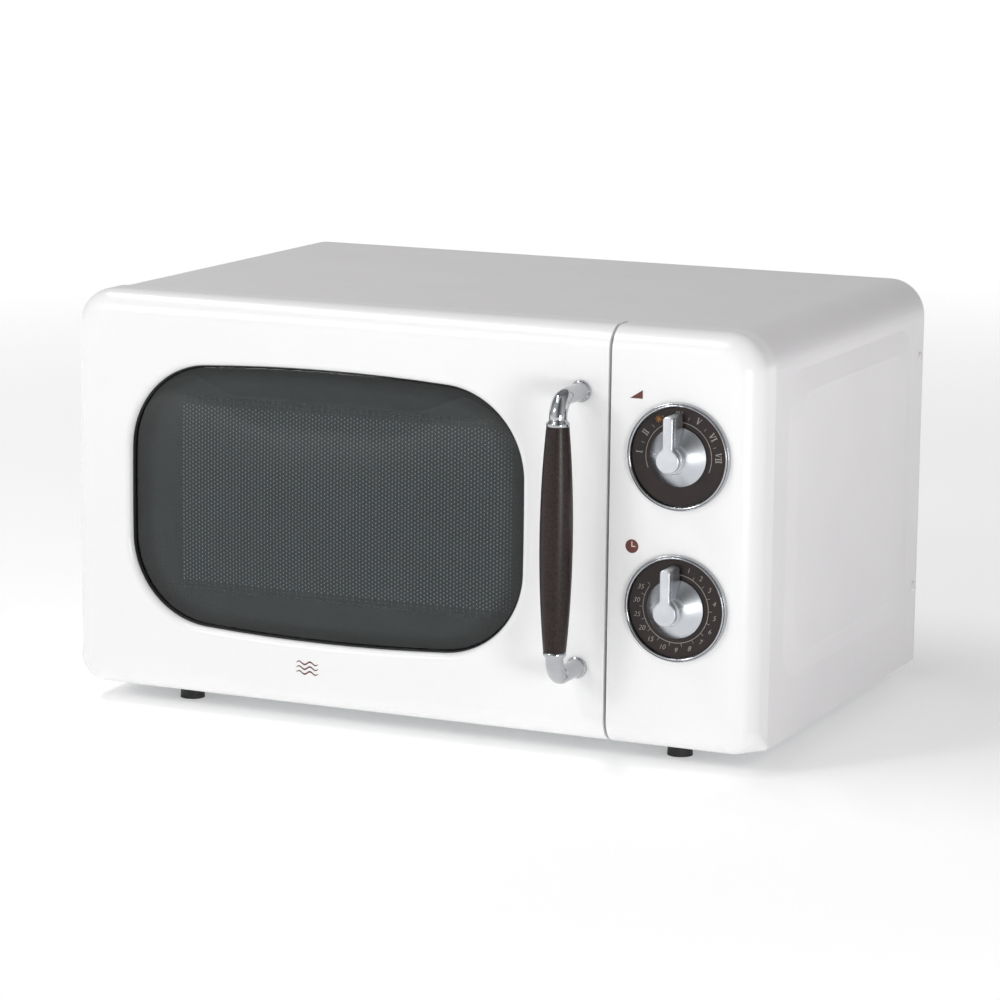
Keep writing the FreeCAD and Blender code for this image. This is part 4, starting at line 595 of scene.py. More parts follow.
def loop_inset(loop: Array, inset: float) -> Array:
    """A closed loop moved inwards along its own normals.

    Args:
        loop: Points X, Z, going anticlockwise.
        inset: How far inwards, in millimetres.

    Returns:
        The moved loop.
    """
    run = np.roll(loop, -1, axis=0) - np.roll(loop, 1, axis=0)
    run = run / np.linalg.norm(run, axis=1, keepdims=True)
    return loop + inset * np.stack([-run[:, 1], run[:, 0]], axis=1)


def slab(loops: Sequence[Array], depths: Sequence[float], hub: Sequence[float]) -> Patch:
    """Loops at their depths, closed at both ends by a fan that shrinks to a hub.

    Args:
        loops: Closed loops of X, Z with the same number of points.
        depths: The Y of each loop.
        hub: X and Z of the point that both ends shrink to.

    Returns:
        A closed surface.
    """
    rows = [np.broadcast_to(hub, loops[0].shape), *loops, np.broadcast_to(hub, loops[0].shape)]
    ys = [depths[0], *depths, depths[-1]]
    return grid(np.stack([np.stack([r[:, 0], np.full(len(r), y), r[:, 1]], axis=1)
                          for r, y in zip(rows, ys)]))


def arc_bands(spans: Array, inner: float, outer: float, centre: tuple[float, float],
              low: float, high: float, count: int = 96) -> Patch:
    """A flat band along an arc, with a thickness.

    Args:
        spans: First and last clock angle, in degrees.
        inner: Inner radius.
        outer: Outer radius.
        centre: X and Z of the arc's middle.
        low: The Y of one face.
        high: The Y of the other.
        count: Points along the arc.

    Returns:
        A closed band; clock angle a points to (sin a, cos a).
    """
    a = np.radians(np.linspace(spans[0], spans[1], count))
    r = np.array([inner, outer, outer, inner])
    y = np.array([low, low, high, high])
    x = centre[0] + r[None, :] * np.sin(a)[:, None]
    z = centre[1] + r[None, :] * np.cos(a)[:, None]
    rows = np.stack([x, np.broadcast_to(y, x.shape), z], axis=-1)
    ends = [np.broadcast_to(rows[k].mean(axis=0), (1, 4, 3)) for k in (0, -1)]
    return grid(np.concatenate([ends[0], rows, ends[1]]))


def make_piece(name: str, patches: Iterable[Patch], finish: Finish, body: str,
               replaces: Sequence[str] = (), sharp: float = 34.0,
               added: Sequence[bpy.types.Mesh] = ()) -> bpy.types.Object:
    """Puts patches into one mesh, closes its seams and dresses it.

    Args:
        name: The piece's name.
        patches: Its surfaces, in millimetres.
        finish: Its material.
        body: The body that it moves with.
        replaces: The CAD nodes that it stands for.
        sharp: Edges that turn by more degrees than this stay crisp.
        added: Meshes that join it, already in place and in metres.

    Returns:
        The finished object, at the origin.
    """
    parts = list(patches)
    mesh = bpy.data.meshes.new(name)
    if parts:
        starts = np.cumsum([0] + [len(p.points) for p in parts[:-1]])
        points = np.concatenate([p.points for p in parts]) * MM
        quads = np.concatenate([p.quads + s for p, s in zip(parts, starts)])
        mesh.vertices.add(len(points))
        mesh.vertices.foreach_set("co", points.astype(np.float32).ravel())
        mesh.loops.add(quads.size)
        mesh.loops.foreach_set("vertex_index", quads.astype(np.int32).ravel())
        mesh.polygons.add(len(quads))
        mesh.polygons.foreach_set("loop_start", np.arange(0, quads.size, 4, dtype=np.int32))
        mesh.update(calc_edges=True)
        layer = mesh.uv_layers.new(name="profile")
        uv = np.concatenate([p.uv for p in parts])
        layer.data.foreach_set("uv", uv.astype(np.float32).ravel())
    work = bmesh.new()
    work.from_mesh(mesh)
    for other in added:
        work.from_mesh(other)
        bpy.data.meshes.remove(other)
    bmesh.ops.remove_doubles(work, verts=work.verts, dist=1e-7)
    bmesh.ops.recalc_face_normals(work, faces=work.faces)
    work.to_mesh(mesh)
    work.free()
    mesh.polygons.foreach_set("use_smooth", np.ones(len(mesh.polygons), bool))
    mesh.set_sharp_from_angle(angle=math.radians(sharp))
    mesh.materials.append(finish.material())
    piece = bpy.data.objects.new(name, mesh)
    bpy.context.scene.collection.objects.link(piece)
    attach(piece, body)
    if replaces:
        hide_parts(*replaces)
    LOG.info("%s: %d faces on %s", name, len(mesh.polygons), body)
    return piece


def dress(finish: Finish, *nodes: str) -> None:
    """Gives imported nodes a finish; their shapes stay as they are.

    Args:
        finish: The finish.
        nodes: The names of the nodes.
    """
    for node in nodes:
        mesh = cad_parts[node].data
        mesh.materials.clear()
        mesh.materials.append(finish.material())
        LOG.info("%s: %s", node, finish.name)


def box_mm(node: str) -> tuple[Array, Array]:
    """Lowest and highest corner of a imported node, in millimetres."""
    low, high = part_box(node)
    return np.array(low) / MM, np.array(high) / MM


def lettering(text: str, size: float, shear: float, at: tuple[float, float], front: float,
              thick: float) -> bpy.types.Mesh:
    """Plain characters as a thin solid that faces the front.

    Args:
        text: The characters.
        size: Their size in millimetres.
        shear: How far they lean.
        at: X and Z of their middle.
        front: The Y of their front face.
        thick: Their thickness.

    Returns:
        A mesh in metres, in place.
    """
    curve = bpy.data.curves.new("letters", "FONT")
    curve.body, curve.size, curve.shear = text, size * MM, shear
    curve.extrude, curve.resolution_u, curve.offset = thick * MM / 2, 3, -0.05 * MM
    holder = bpy.data.objects.new("letters", curve)
    bpy.context.scene.collection.objects.link(holder)
    graph = bpy.context.evaluated_depsgraph_get()
    mesh = bpy.data.meshes.new_from_object(holder.evaluated_get(graph))
    bpy.data.objects.remove(holder)
    bpy.data.curves.remove(curve)
    co = np.zeros(len(mesh.vertices) * 3, np.float32)
    mesh.vertices.foreach_get("co", co)
    co = co.reshape(-1, 3)
    middle = (co.min(axis=0) + co.max(axis=0)) / 2
    stand = np.stack([co[:, 0] - middle[0] + at[0] * MM, (front + thick / 2) * MM - co[:, 2],
                      co[:, 1] - middle[1] + at[1] * MM], axis=1)
    mesh.vertices.foreach_set("co", stand.astype(np.float32).ravel())
    return mesh


# ---------------------------------------------------------------- door

@dataclass
class Door:
    """The white door with its tinted pane, perforated screen and printed mark."""

    side_radius: float = 2400.0
    top_radius: float = 1200.0
    corner: float = 54.6
    pane_gap: float = 0.8
    pane_flange: float = 7.0
    pane_dome: float = 4.4
    lining_front: float = 4.2
    lining_depth: float = 5.6
    pane_setback: float = 1.5
    hole_pitch_x: float = 2.165
    hole_pitch_z: float = 2.5
    hole_radius: float = 0.62
    field_left: float = -155.0
    field_right: float = 70.0
    field_low: float = 82.5
    field_top: float = 197.0
    mark_place: tuple[float, float] = (-62.5, 38.0)

    def __post_init__(self) -> None:
        """Takes the window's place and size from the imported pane."""
        low, high = box_mm("door_window")
        self.middle = (low + high) / 2
        self.half = (high - low) / 2 - self.pane_flange
        self.front = box_mm("door_outer_frame")[0][1]

    def window_loop(self, inset: float, per_arc: int = 14) -> Array:
        """The window's outline: four shallow arcs joined by four round corners.

        In one quarter the side arc and the top arc are circles about points on the two
        axes, and the corner is the circle that touches both from inside.  The quarter is
        then mirrored.

        Args:
            inset: How far inside the pane's own edge, in millimetres.
            per_arc: Points along each arc of a quarter.

        Returns:
            Points X, Z, anticlockwise as seen from the front.
        """
        wide, tall = self.half[0] - inset, self.half[2] - inset
        side, top = self.side_radius - inset, self.top_radius - inset
        turn = max(self.corner - inset, 0.5)
        first, second = np.array([wide - side, 0.0]), np.array([0.0, tall - top])
        apart = np.linalg.norm(second - first)
        ahead = (second - first) / apart
        reach, other = side - turn, top - turn
        share = (apart ** 2 + reach ** 2 - other ** 2) / (2 * apart)
        lift = math.sqrt(reach ** 2 - share ** 2)
        spots = [first + share * ahead + s * lift * np.array([-ahead[1], ahead[0]])
                 for s in (-1, 1)]
        knee = max(spots, key=lambda p: p[0] + p[1])
        start = math.atan2(*(knee - first)[::-1])
        stop = math.atan2(*(knee - second)[::-1])
        pieces = [(first, side, 0.0, start), (knee, turn, start, stop),
                  (second, top, stop, math.pi / 2)]
        quarter = np.concatenate([
            c + r * np.stack([np.cos(t), np.sin(t)], axis=1)
            for c, r, a, b in pieces
            for t in [np.linspace(a, b, per_arc, endpoint=False)]])
        quarter = np.concatenate([quarter, [[0.0, tall]]])
        left = quarter[::-1][1:] * [-1, 1]
        upper = np.concatenate([quarter, left])
        lower = upper[::-1][1:-1] * [1, -1]
        return np.concatenate([upper, lower]) + self.middle[[0, 2]]

    def build_pane(self) -> None:
        """The pane: y = front + dome s^2 from its middle (s = 0) to its edge (s = 1)."""
        face = self.front + self.pane_setback
        hub = self.middle[[0, 2]]
        edge = self.window_loop(self.pane_gap)
        shares = np.linspace(0, 1, 28) ** 0.8
        crown = hub + shares[:, None, None] * (self.window_loop(self.pane_gap + 1.2) - hub)
        depth = face + self.pane_dome * shares ** 2
        back = face + self.pane_dome + 2.6
        rows = [np.dstack([crown[..., 0], np.broadcast_to(depth[:, None], crown.shape[:2]),
                           crown[..., 1]])]
        turn = np.linspace(0, np.pi / 2, 6)[1:]
        for angle in turn:
            loop = self.window_loop(self.pane_gap + 1.2 * (1 - math.sin(angle)))
            y = face + self.pane_dome + 1.2 * (1 - math.cos(angle))
            rows.append(np.stack([loop[:, 0], np.full(len(loop), y), loop[:, 1]], axis=1)[None])
        for share, y in ((1.0, back), (0.0, back)):
            loop = hub + share * (edge - hub)
            rows.append(np.stack([loop[:, 0], np.full(len(loop), y), loop[:, 1]], axis=1)[None])
        make_piece("door_pane", [grid(np.concatenate(rows))], TINTED_PANE, "door",
                   ["door_window"])

    def build_lining(self) -> None:
        """Painted shade of the gap round the pane: a black band of four-sided section carried round
        the opening's outline.
        """
        near = self.front + self.lining_front
        far = near + self.lining_depth
        section = ((0.05, near), (0.65, near), (0.65, far), (0.05, far), (0.05, near))
        rows = []
        for inset, y in section:
            loop = self.window_loop(inset)
            rows.append(np.stack([loop[:, 0], np.full(len(loop), y), loop[:, 1]], axis=1))
        # painted shade: a dark band where the gap round the pane lies in shadow
        make_piece("door_pane_shade_lining", [grid(np.stack(rows))], RUBBER, "door")

    def build_screen(self) -> None:
        """The perforated sheet: every cell is a rectangle around a six-sided hole.

        Odd columns stand half a pitch higher.  A cell's six outer points are its corners
        and the middles of its upright sides, where the next column's corners fall.
        """
        low, high = box_mm("door_screen")
        across = int((self.field_right - self.field_left) / self.hole_pitch_x)
        rows = int((self.field_top - self.field_low) / self.hole_pitch_z)
        col, row = np.meshgrid(np.arange(across), np.arange(-2, rows + 1), indexing="ij")
        width, tall = self.hole_pitch_x / 2, self.hole_pitch_z / 2
        x = self.field_left + width + col * self.hole_pitch_x
        z = self.field_low + tall + (row + (col % 2) * 0.5) * self.hole_pitch_z
        size = np.full(x.shape, self.hole_radius)
        outside = (row < 0) | (row >= rows - 1)
        size[outside] = self.hole_radius * 0.6
        size[outside & (col % 2 == 1)] = 0.05
        centre = np.stack([x, z], axis=-1).reshape(-1, 1, 2)
        turn = np.radians(np.arange(6) * 60.0)
        hexagon = np.stack([np.cos(turn), np.sin(turn)], axis=1)
        outer = centre + np.array([[width, 0], [width, tall], [-width, tall], [-width, 0],
                                   [-width, -tall], [width, -tall]])
        inner = centre + size.reshape(-1, 1, 1) * hexagon
        near, far = low[1], high[1]
        layers = [(outer, near), (inner, near), (inner, far), (outer, far)]
        points = np.stack([np.stack([p[..., 0], np.full(p.shape[:2], y), p[..., 1]], axis=-1)
                           for p, y in layers], axis=1)
        base = np.arange(len(centre))[:, None, None] * 24
        k = np.arange(6)
        ring = np.stack([k, (k + 1) % 6, (k + 1) % 6 + 6, k + 6], axis=-1)
        quads = np.concatenate([(base + ring + 6 * step).reshape(-1, 4) for step in range(3)])
        uv = np.tile(np.array([[0, 0], [1, 0], [1, 1], [0, 1]], float), (len(quads), 1, 1))
        cells = Patch(points.reshape(-1, 3), quads, uv)
        left, right = self.field_left, self.field_left + across * self.hole_pitch_x
        floor = self.field_low - 2 * self.hole_pitch_z
        roof = self.field_low + (rows + 1) * self.hole_pitch_z
        frame_shapes = np.array([
            [[low[0], low[2]], [high[0], low[2]], [high[0], floor], [low[0], floor]],
            [[low[0], roof + tall], [high[0], roof + tall], [high[0], high[2]], [low[0], high[2]]],
            [[low[0], floor], [left, floor], [left, roof + tall], [low[0], roof + tall]],
            [[right, floor], [high[0], floor], [high[0], roof + tall], [right, roof + tall]]])
        columns = self.field_left + np.arange(across) * self.hole_pitch_x
        odd = columns[np.arange(across) % 2 == 1][:, None, None]
        even = columns[np.arange(across) % 2 == 0][:, None, None]
        strip = np.array([[0, 0], [self.hole_pitch_x, 0], [self.hole_pitch_x, tall], [0, tall]])
        fills = [strip + np.concatenate([c, np.full_like(c, level)], axis=-1)
                 for c, level in ((odd, floor), (even, roof))]
        make_piece("door_perforated_screen",
                   [cells, prisms(frame_shapes, near, far)] + [prisms(f, near, far) for f in fills],
                   DARK_SCREEN, "door", ["door_screen"])

    def build_mark(self) -> None:
        """A plain printed mark: three short waves, z = a sin(2 pi x / length), one over another."""
        s = np.linspace(0, 1, 60)
        length, swing, half = 15.0, 0.9, 0.55
        patches = []
        for level in (-3.0, 0.0, 3.0):
            x = self.mark_place[0] + (s - 0.5) * length
            z = self.mark_place[1] + level + swing * np.sin(4 * np.pi * s)
            width = half * np.sin(np.pi * np.clip(s, 0.02, 0.98)) ** 0.35
            ring = np.array([[-1, 0], [1, 0], [1, 1], [-1, 1]])
            points = np.stack([np.broadcast_to(x[:, None], (60, 4)),
                               self.front + 0.02 - 0.1 * np.broadcast_to(ring[:, 1], (60, 4)),
                               z[:, None] + width[:, None] * ring[:, 0]], axis=-1)
            ends = [np.broadcast_to(points[k].mean(axis=0), (1, 4, 3)) for k in (0, -1)]
            patches.append(grid(np.concatenate([ends[0], points, ends[1]])))
        make_piece("door_wave_mark", patches, BROWN_INK, "door")

    def build(self) -> None:
        """Makes and dresses the door."""
        self.build_pane()
        self.build_lining()
        self.build_screen()
        self.build_mark()
        dress(WHITE_ABS, "door_outer_frame")
        dress(ZINC_STEEL, "door_inner_plate", "handle_screws")
        dress(BLACK_ABS, "door_choke_cover", "latch_hooks")
        dress(MILKY_FILM, "door_film")
        dress(SPRING_STEEL, "latch_spring")


@dataclass
class Handle:
    """The bar handle: two chrome elbows and a barrel-shaped grip."""

    tube: float = 5.3
    bend: float = 11.5
    flange: float = 6.6
    flange_wall: float = 2.6
    flare: float = 2.6
    band: float = 2.0
    band_radius: float = 6.9
    grip_end: float = 6.8
    grip_middle: float = 9.8

    def __post_init__(self) -> None:
        """Takes the handle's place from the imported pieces."""
        grip_low, grip_high = box_mm("handle_grip")
        self.place = (grip_low[0] + grip_high[0]) / 2
        self.bar = (grip_low[1] + grip_high[1]) / 2
        self.foot, self.top = grip_low[2], grip_high[2]
        self.front = box_mm("handle_upper")[1][1]

    def build_bracket(self, name: str, node: str, end: float, side: int) -> None:
        """One elbow: straight out of the door, a quarter turn, a flare and a band.

        Args:
            name: The piece's name.
            node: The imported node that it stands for.
            end: The height at which the grip starts.
            side: 1 for the upper elbow and -1 for the lower one.
        """
        level = end + side * (self.band + self.flare + self.bend)
        bow = np.radians(np.linspace(0, 90, 24))
        stops = np.array([0, 0, 0.3, 0.7, 1.6, 2.2, self.flange_wall, 3.2, 4.0])
        girth = np.array([0, 6.2, 6.5, self.flange, self.flange, 6.3, 5.8, 5.42, self.tube])
        out = self.front - np.concatenate([stops, [8.0, 14.0, self.front - self.bar - self.bend]])
        first = np.stack([np.full(len(out), self.place), out, np.full(len(out), level)], axis=1)
        turn = np.stack([np.full(24, self.place), self.bar + self.bend - self.bend * np.sin(bow),
                         level - side * self.bend * (1 - np.cos(bow))], axis=1)
        down = np.array([0.4, 1.0, 1.7, 2.3, 2.6, 2.9, 4.2, 4.6, 4.6])
        swell = np.array([self.tube, 5.5, 6.1, 6.6, 6.8, self.band_radius, self.band_radius,
                          6.6, 0])
        last = np.stack([np.full(len(down), self.place), np.full(len(down), self.bar),
                         level - side * (self.bend + down)], axis=1)
        path = np.concatenate([first, turn[1:], last])
        radii = np.concatenate([girth, np.full(3 + 23, self.tube), swell])
        angle = np.concatenate([np.zeros(len(first)), bow[1:], np.full(len(last), np.pi / 2)])
        outward = np.stack([np.zeros(len(angle)), -np.sin(angle), side * np.cos(angle)], axis=1)
        make_piece(name, [swept(path, outward, radii, 56)], CHROME, "door", [node],
                   sharp=50)

    def build_grip(self) -> None:
        """The grip: its radius is end + (middle - end) (1 - t^2) for t from -1 to 1."""
        t = np.linspace(-1, 1, 64)
        radii = self.grip_end + (self.grip_middle - self.grip_end) * (1 - t ** 2)
        half = (self.top - self.foot) / 2 - 0.35
        heights = (self.foot + self.top) / 2 + half * t
        radii = np.concatenate([[0, radii[0] - 0.5], radii, [radii[-1] - 0.5, 0]])
        heights = np.concatenate([[self.foot, self.foot], heights, [self.top, self.top]])
        make_piece("handle_barrel", [spun(radii, heights, (self.place, self.bar, 0),
                                          np.array([0, 0, 1.0]), 72)],
                   BROWN_PHENOLIC, "door", ["handle_grip"])

    def build(self) -> None:
        """Makes the handle."""
        self.build_bracket("handle_elbow_upper", "handle_upper", self.top, 1)
        self.build_bracket("handle_elbow_lower", "handle_lower", self.foot, -1)
        self.build_grip()


# ---------------------------------------------------------------- dials

class Scale(Enum):
    """What a dial sets."""

    POWER = "power"
    TIMER = "timer"


@dataclass
class Dial:
    """One dial: a bright ring, a printed disc, and a turned knob with a fin."""

    scale: Scale
    ring_radius: float = 32.0
    face_radius: float = 29.5
    face_rise: float = 1.2
    skirt: float = 17.7
    rise: float = 19.7
    head: float = 7.2
    fin_half: float = 3.1
    fin_length: float = 26.0
    line_radius: float = 20.5
    numeral_radius: float = 24.7
    ink: float = 0.06

    def __post_init__(self) -> None:
        """Takes the dial's middle from its packed ring."""
        low, high = box_mm(f"{self.scale.value}_dial_ring")
        self.at = np.array([(low[0] + high[0]) / 2, high[1], (low[2] + high[2]) / 2])
        self.axis = np.array([0, -1.0, 0])
        self.tag = self.scale.value

    def on_face(self, clock: float, radius: float) -> tuple[float, float]:
        """X and Z at a clock angle in degrees and a distance from the dial's middle."""
        turn = math.radians(clock)
        return self.at[0] + radius * math.sin(turn), self.at[2] + radius * math.cos(turn)

    def build_ring(self) -> None:
        """The ring's section: a broad inner band, a groove, and a fine outer ridge."""
        r, h = rounded_profile([
            (self.face_radius, 0, 0), (self.face_radius, 2.6, 0.2), (29.8, 3.4, 0.25),
            (30.4, 3.6, 0.2), (30.8, 3.1, 0.15), (30.95, 2.2, 0.12), (31.15, 2.2, 0.08),
            (31.35, 2.9, 0.12), (31.7, 2.8, 0.12), (self.ring_radius, 1.8, 0.2),
            (self.ring_radius, 0, 0), (self.face_radius, 0, 0)])
        make_piece(f"{self.tag}_bright_ring", [spun(r, h, self.at, self.axis, 144)], CHROME,
                   "cabinet", [f"{self.tag}_dial_ring"], sharp=60)

    def build_face(self) -> None:
        """The disc behind the knob, with its hole and a soft outer edge."""
        r, h = rounded_profile([(4.5, 0, 0), (4.5, self.face_rise, 0.2),
                                (self.face_radius - 0.2, self.face_rise, 0.3),
                                (self.face_radius - 0.2, 0, 0), (4.5, 0, 0)])
        make_piece(f"{self.tag}_disc", [spun(r, h, self.at, self.axis, 120)], BROWN_FACE,
                   "cabinet", [f"{self.tag}_dial_face"])

    def tick(self, clock: float, inner: float, outer: float, half: float) -> Array:
        """Corners of a radial stroke.

        Args:
            clock: Its angle from the top, in degrees clockwise.
            inner: The radius where it starts.
            outer: The radius where it ends.
            half: Half its width.

        Returns:
            Four corners as X and Z.
        """
        turn = math.radians(clock)
        ahead = np.array([math.sin(turn), math.cos(turn)])
        side = np.array([ahead[1], -ahead[0]]) * half
        middle = self.at[[0, 2]]
        return np.array([middle + ahead * inner - side, middle + ahead * inner + side,
                         middle + ahead * outer + side, middle + ahead * outer - side])

    def roman(self, text: str, clock: float) -> list[Array]:
        """Strokes of a Roman numeral with small serifs, its top pointing outwards.

        Args:
            text: I and V only.
            clock: The clock angle in degrees.

        Returns:
            Four corners for each stroke.
        """
        tall, stem, hair, serif = 3.7, 0.29, 0.14, 0.75
        widths = {"I": 1.5, "V": 3.1}
        cursor = -sum(widths[c] for c in text) / 2
        strokes = []
        for letter in text:
            middle = cursor + widths[letter] / 2
            cursor += widths[letter]
            low, high = -tall / 2, tall / 2
            if letter == "I":
                strokes += [(middle, low, middle, high, stem), (middle, high, middle, high, serif),
                            (middle, low, middle, low, serif)]
            else:
                strokes += [(middle - 1.0, high, middle, low, stem),
                            (middle + 1.0, high, middle, low, hair),
                            (middle - 1.0, high, middle - 1.0, high, 0.62),
                            (middle + 1.0, high, middle + 1.0, high, 0.5)]
        turn = math.radians(clock)
        out = np.array([math.sin(turn), math.cos(turn)])
        side = np.array([out[1], -out[0]])
        centre = self.at[[0, 2]] + out * self.numeral_radius
        shapes = []
        for x0, z0, x1, z1, half in strokes:
            lift = 0.13 if z0 == z1 else 0.0
            flat = np.array([[x0 - half, z0 - lift], [x0 + half, z0 - lift],
                             [x1 + half, z1 + lift], [x1 - half, z1 + lift]])
            shapes.append(centre + flat[:, :1] * side + flat[:, 1:] * out)
        return shapes

    def build_power_print(self) -> None:
        """Seven steps from I to VII, with an orange star in place of the third."""
        front = self.at[1] - self.face_rise - self.ink
        back = front + self.ink * 2
        marks = {"I": -87.0, "II": -58.0, "IV": 0.0, "V": 29.0, "VI": 58.0, "VII": 87.0}
        shapes = [s for text, clock in marks.items() for s in self.roman(text, clock)]
        shapes += [self.tick(c, 22.4, 24.4, 0.11) for c in (-72.5, -43.5, -14.5, 14.5, 43.5, 72.5)]
        line = arc_bands(np.array([-112.0, 112.0]), self.line_radius - 0.16,
                         self.line_radius + 0.16, (self.at[0], self.at[2]), front, back)
        make_piece("power_numerals", [prisms(np.array(shapes), front, back), line], PALE_INK,
                   "cabinet")
        x, z = self.on_face(-31.0, 24.9)
        rays = []
        for clock in range(0, 180, 45):
            a = math.radians(clock)
            d, n = np.array([math.sin(a), math.cos(a)]), np.array([math.cos(a), -math.sin(a)])
            c = np.array([x, z])
            rays.append(np.array([c - d * 2.1 - n * 0.14, c - d * 2.1 + n * 0.14,
                                  c + d * 2.1 + n * 0.14, c + d * 2.1 - n * 0.14]))
        dot = np.array([x + 2.5, z + 1.9])
        rays.append(dot + 0.3 * np.array([[-1, -1], [1, -1], [1, 1], [-1, 1]]))
        make_piece("power_star", [prisms(np.array(rays), front, back)], ORANGE_INK, "cabinet")

    def build_timer_print(self) -> None:
        """Upright leaning numerals: 1 to 10 in single minutes, then 15 to 35 in fives."""
        front = self.at[1] - self.face_rise - self.ink
        back = front + self.ink * 2
        labels = [str(n) for n in (*range(1, 11), 15, 20, 25, 30, 35)]
        clocks = 18.7 + 19.9 * np.arange(len(labels))
        letters = [lettering(text, 4.2, 0.3, self.on_face(clock, self.numeral_radius), front,
                             self.ink * 2)
                   for text, clock in zip(labels, clocks)]
        ticks = np.array([self.tick(c, self.line_radius, 22.8, 0.11) for c in clocks + 11.2])
        line = arc_bands(np.array([4.0, 306.0]), self.line_radius - 0.16, self.line_radius + 0.16,
                         (self.at[0], self.at[2]), front, back, 160)
        make_piece("timer_numerals", [prisms(ticks, front, back), line], PALE_INK, "cabinet",
                   added=letters)

    def fin_loop(self) -> Array:
        """Outline of the head and fin: a disc and a bar joined by hollow corners.

        The right half runs from the disc's foot up its edge, round the hollow, up the
        bar's side and over its rounded end; the left half mirrors it.

        Returns:
            Points as X and Z around the dial's middle.
        """
        hollow, tip, half = 2.4, 2.3, self.fin_half
        rise = math.sqrt((self.head + hollow) ** 2 - (half + hollow) ** 2)
        meet = math.atan2(rise, half + hollow)
        disc = np.linspace(-np.pi / 2, meet, 26)
        cove = np.linspace(meet + np.pi, np.pi, 8)[1:]
        side = np.linspace(rise, self.fin_length - tip, 10)[1:]
        over = np.linspace(0, np.pi / 2, 9)[1:]
        right = np.concatenate([
            self.head * np.stack([np.cos(disc), np.sin(disc)], axis=1),
            np.array([half + hollow, rise])
            + hollow * np.stack([np.cos(cove), np.sin(cove)], axis=1),
            np.stack([np.full(len(side), half), side], axis=1),
            np.array([half - tip, self.fin_length - tip])
            + tip * np.stack([np.cos(over), np.sin(over)], axis=1)])
        return np.concatenate([right, right[::-1][:-1] * [-1, 1]])

    def bar_loop(self, lolly: Array) -> Array:
        """The bar alone, with as many points as the whole outline.

        Args:
            lolly: Outline of the head and fin.

        Returns:
            The outline with its disc pressed to the bar's width.
        """
        narrow = lolly.copy()
        narrow[:, 0] = np.clip(narrow[:, 0], -self.fin_half + 0.1, self.fin_half - 0.1)
        narrow[:, 1] = np.where(lolly[:, 1] < 0, lolly[:, 1] * 0.6, lolly[:, 1])
        return narrow

    def build_knob(self) -> None:
        """The turned body and, over it, the fin that ends in a round head."""
        r, h = rounded_profile([
            (0, 1.5, 0), (self.skirt, 1.5, 0.3), (self.skirt, 2.5, 0.35), (9.0, 9.4, 0.4),
            (8.7, 9.8, 0.2), (8.1, 10.0, 0.15), (8.1, 10.7, 0.1), (7.2, 10.9, 0.15),
            (7.2, 11.5, 0.15), (8.0, 11.7, 0.1), (8.0, 12.3, 0.1), (7.2, 12.5, 0.15),
            (7.2, 13.1, 0.15), (8.0, 13.3, 0.1), (8.0, 13.9, 0.1), (7.2, 14.1, 0.15),
            (7.2, 14.7, 0.15), (7.9, 14.9, 0.1), (7.9, 15.4, 0.1), (6.6, 15.6, 0.15),
            (6.6, 17.0, 0), (0, 17.0, 0)])
        place = f"{self.tag}_dial"
        knob = f"{self.tag}_knob"
        make_piece(f"{self.tag}_knob_cone", [spun(r, h, self.at, self.axis, 120)], SATIN_KNOB,
                   place, [knob])
        lolly, front = self.fin_loop(), self.at[1] - self.rise
        bar = self.bar_loop(lolly)
        middle = self.at[[0, 2]]
        loops, depths = [bar, bar], [self.at[1] - 3.7, front + 4.2]
        loops += [loop_inset(lolly, 0.25), lolly]
        depths += [front + 4.1, front + 3.8]
        for angle in np.radians([0, 22, 45, 67, 90]):
            loops.append(loop_inset(lolly, 0.8 * (1 - math.cos(angle))))
            depths.append(front + 0.8 * (1 - math.sin(angle)))
        make_piece(f"{self.tag}_knob_fin", [slab([l + middle for l in loops], depths, middle)],
                   SATIN_FIN, place, [knob], sharp=40)

    def build(self) -> None:
        """Makes and dresses the dial."""
        self.build_ring()
        self.build_face()
        if self.scale is Scale.POWER:
            self.build_power_print()
        else:
            self.build_timer_print()
        self.build_knob()
        dress(SPRING_STEEL, f"{self.tag}_shaft")
        dress(GREY_PP, f"{self.tag}_unit")


@dataclass
class ControlPanel:
    """The white panel with a printed wedge for power and a printed clock for time."""

    wedge_left: float = 147.2
    wedge_right: float = 155.3
    wedge_low: float = 221.1
    wedge_top: float = 226.2
    clock_place: tuple[float, float] = (150.2, 133.4)
    clock_radius: float = 4.1
    ink: float = 0.08

    def build(self) -> None:
        """Makes the two printed signs and dresses the panel."""
        front = box_mm("control_panel")[0][1]
        wedge = np.array([[[self.wedge_left, self.wedge_low], [self.wedge_right, self.wedge_low],
                           [self.wedge_right, self.wedge_top], [self.wedge_left + 0.2,
                                                                self.wedge_low + 0.1]]])
        x, z = self.clock_place
        r, h = rounded_profile([(0, -0.02, 0), (self.clock_radius, -0.02, 0),
                                (self.clock_radius, self.ink, 0.04), (0, self.ink, 0)])
        disc = spun(r, h, (x, front, z), np.array([0, -1.0, 0]), 64)
        make_piece("panel_signs", [prisms(wedge, front - self.ink, front + 0.02), disc], BROWN_INK,
                   "cabinet")
        hands = np.array([[[x - 0.3, z - 0.3], [x + 0.3, z - 0.3], [x + 0.3, z + 2.9],
                           [x - 0.3, z + 2.9]],
                          [[x + 0.3, z - 0.3], [x + 2.2, z - 0.3], [x + 2.2, z + 0.3],
                           [x + 0.3, z + 0.3]]])
        make_piece("panel_clock_hands", [prisms(hands, front - self.ink - 0.05,
                                                front - self.ink + 0.02)],
                   PINK_INK, "cabinet")
        dress(WHITE_ABS, "control_panel")
        dress(BLACK_ABS, "latch_board", "door_switches")


# ---------------------------------------------------------------- cabinet and inside

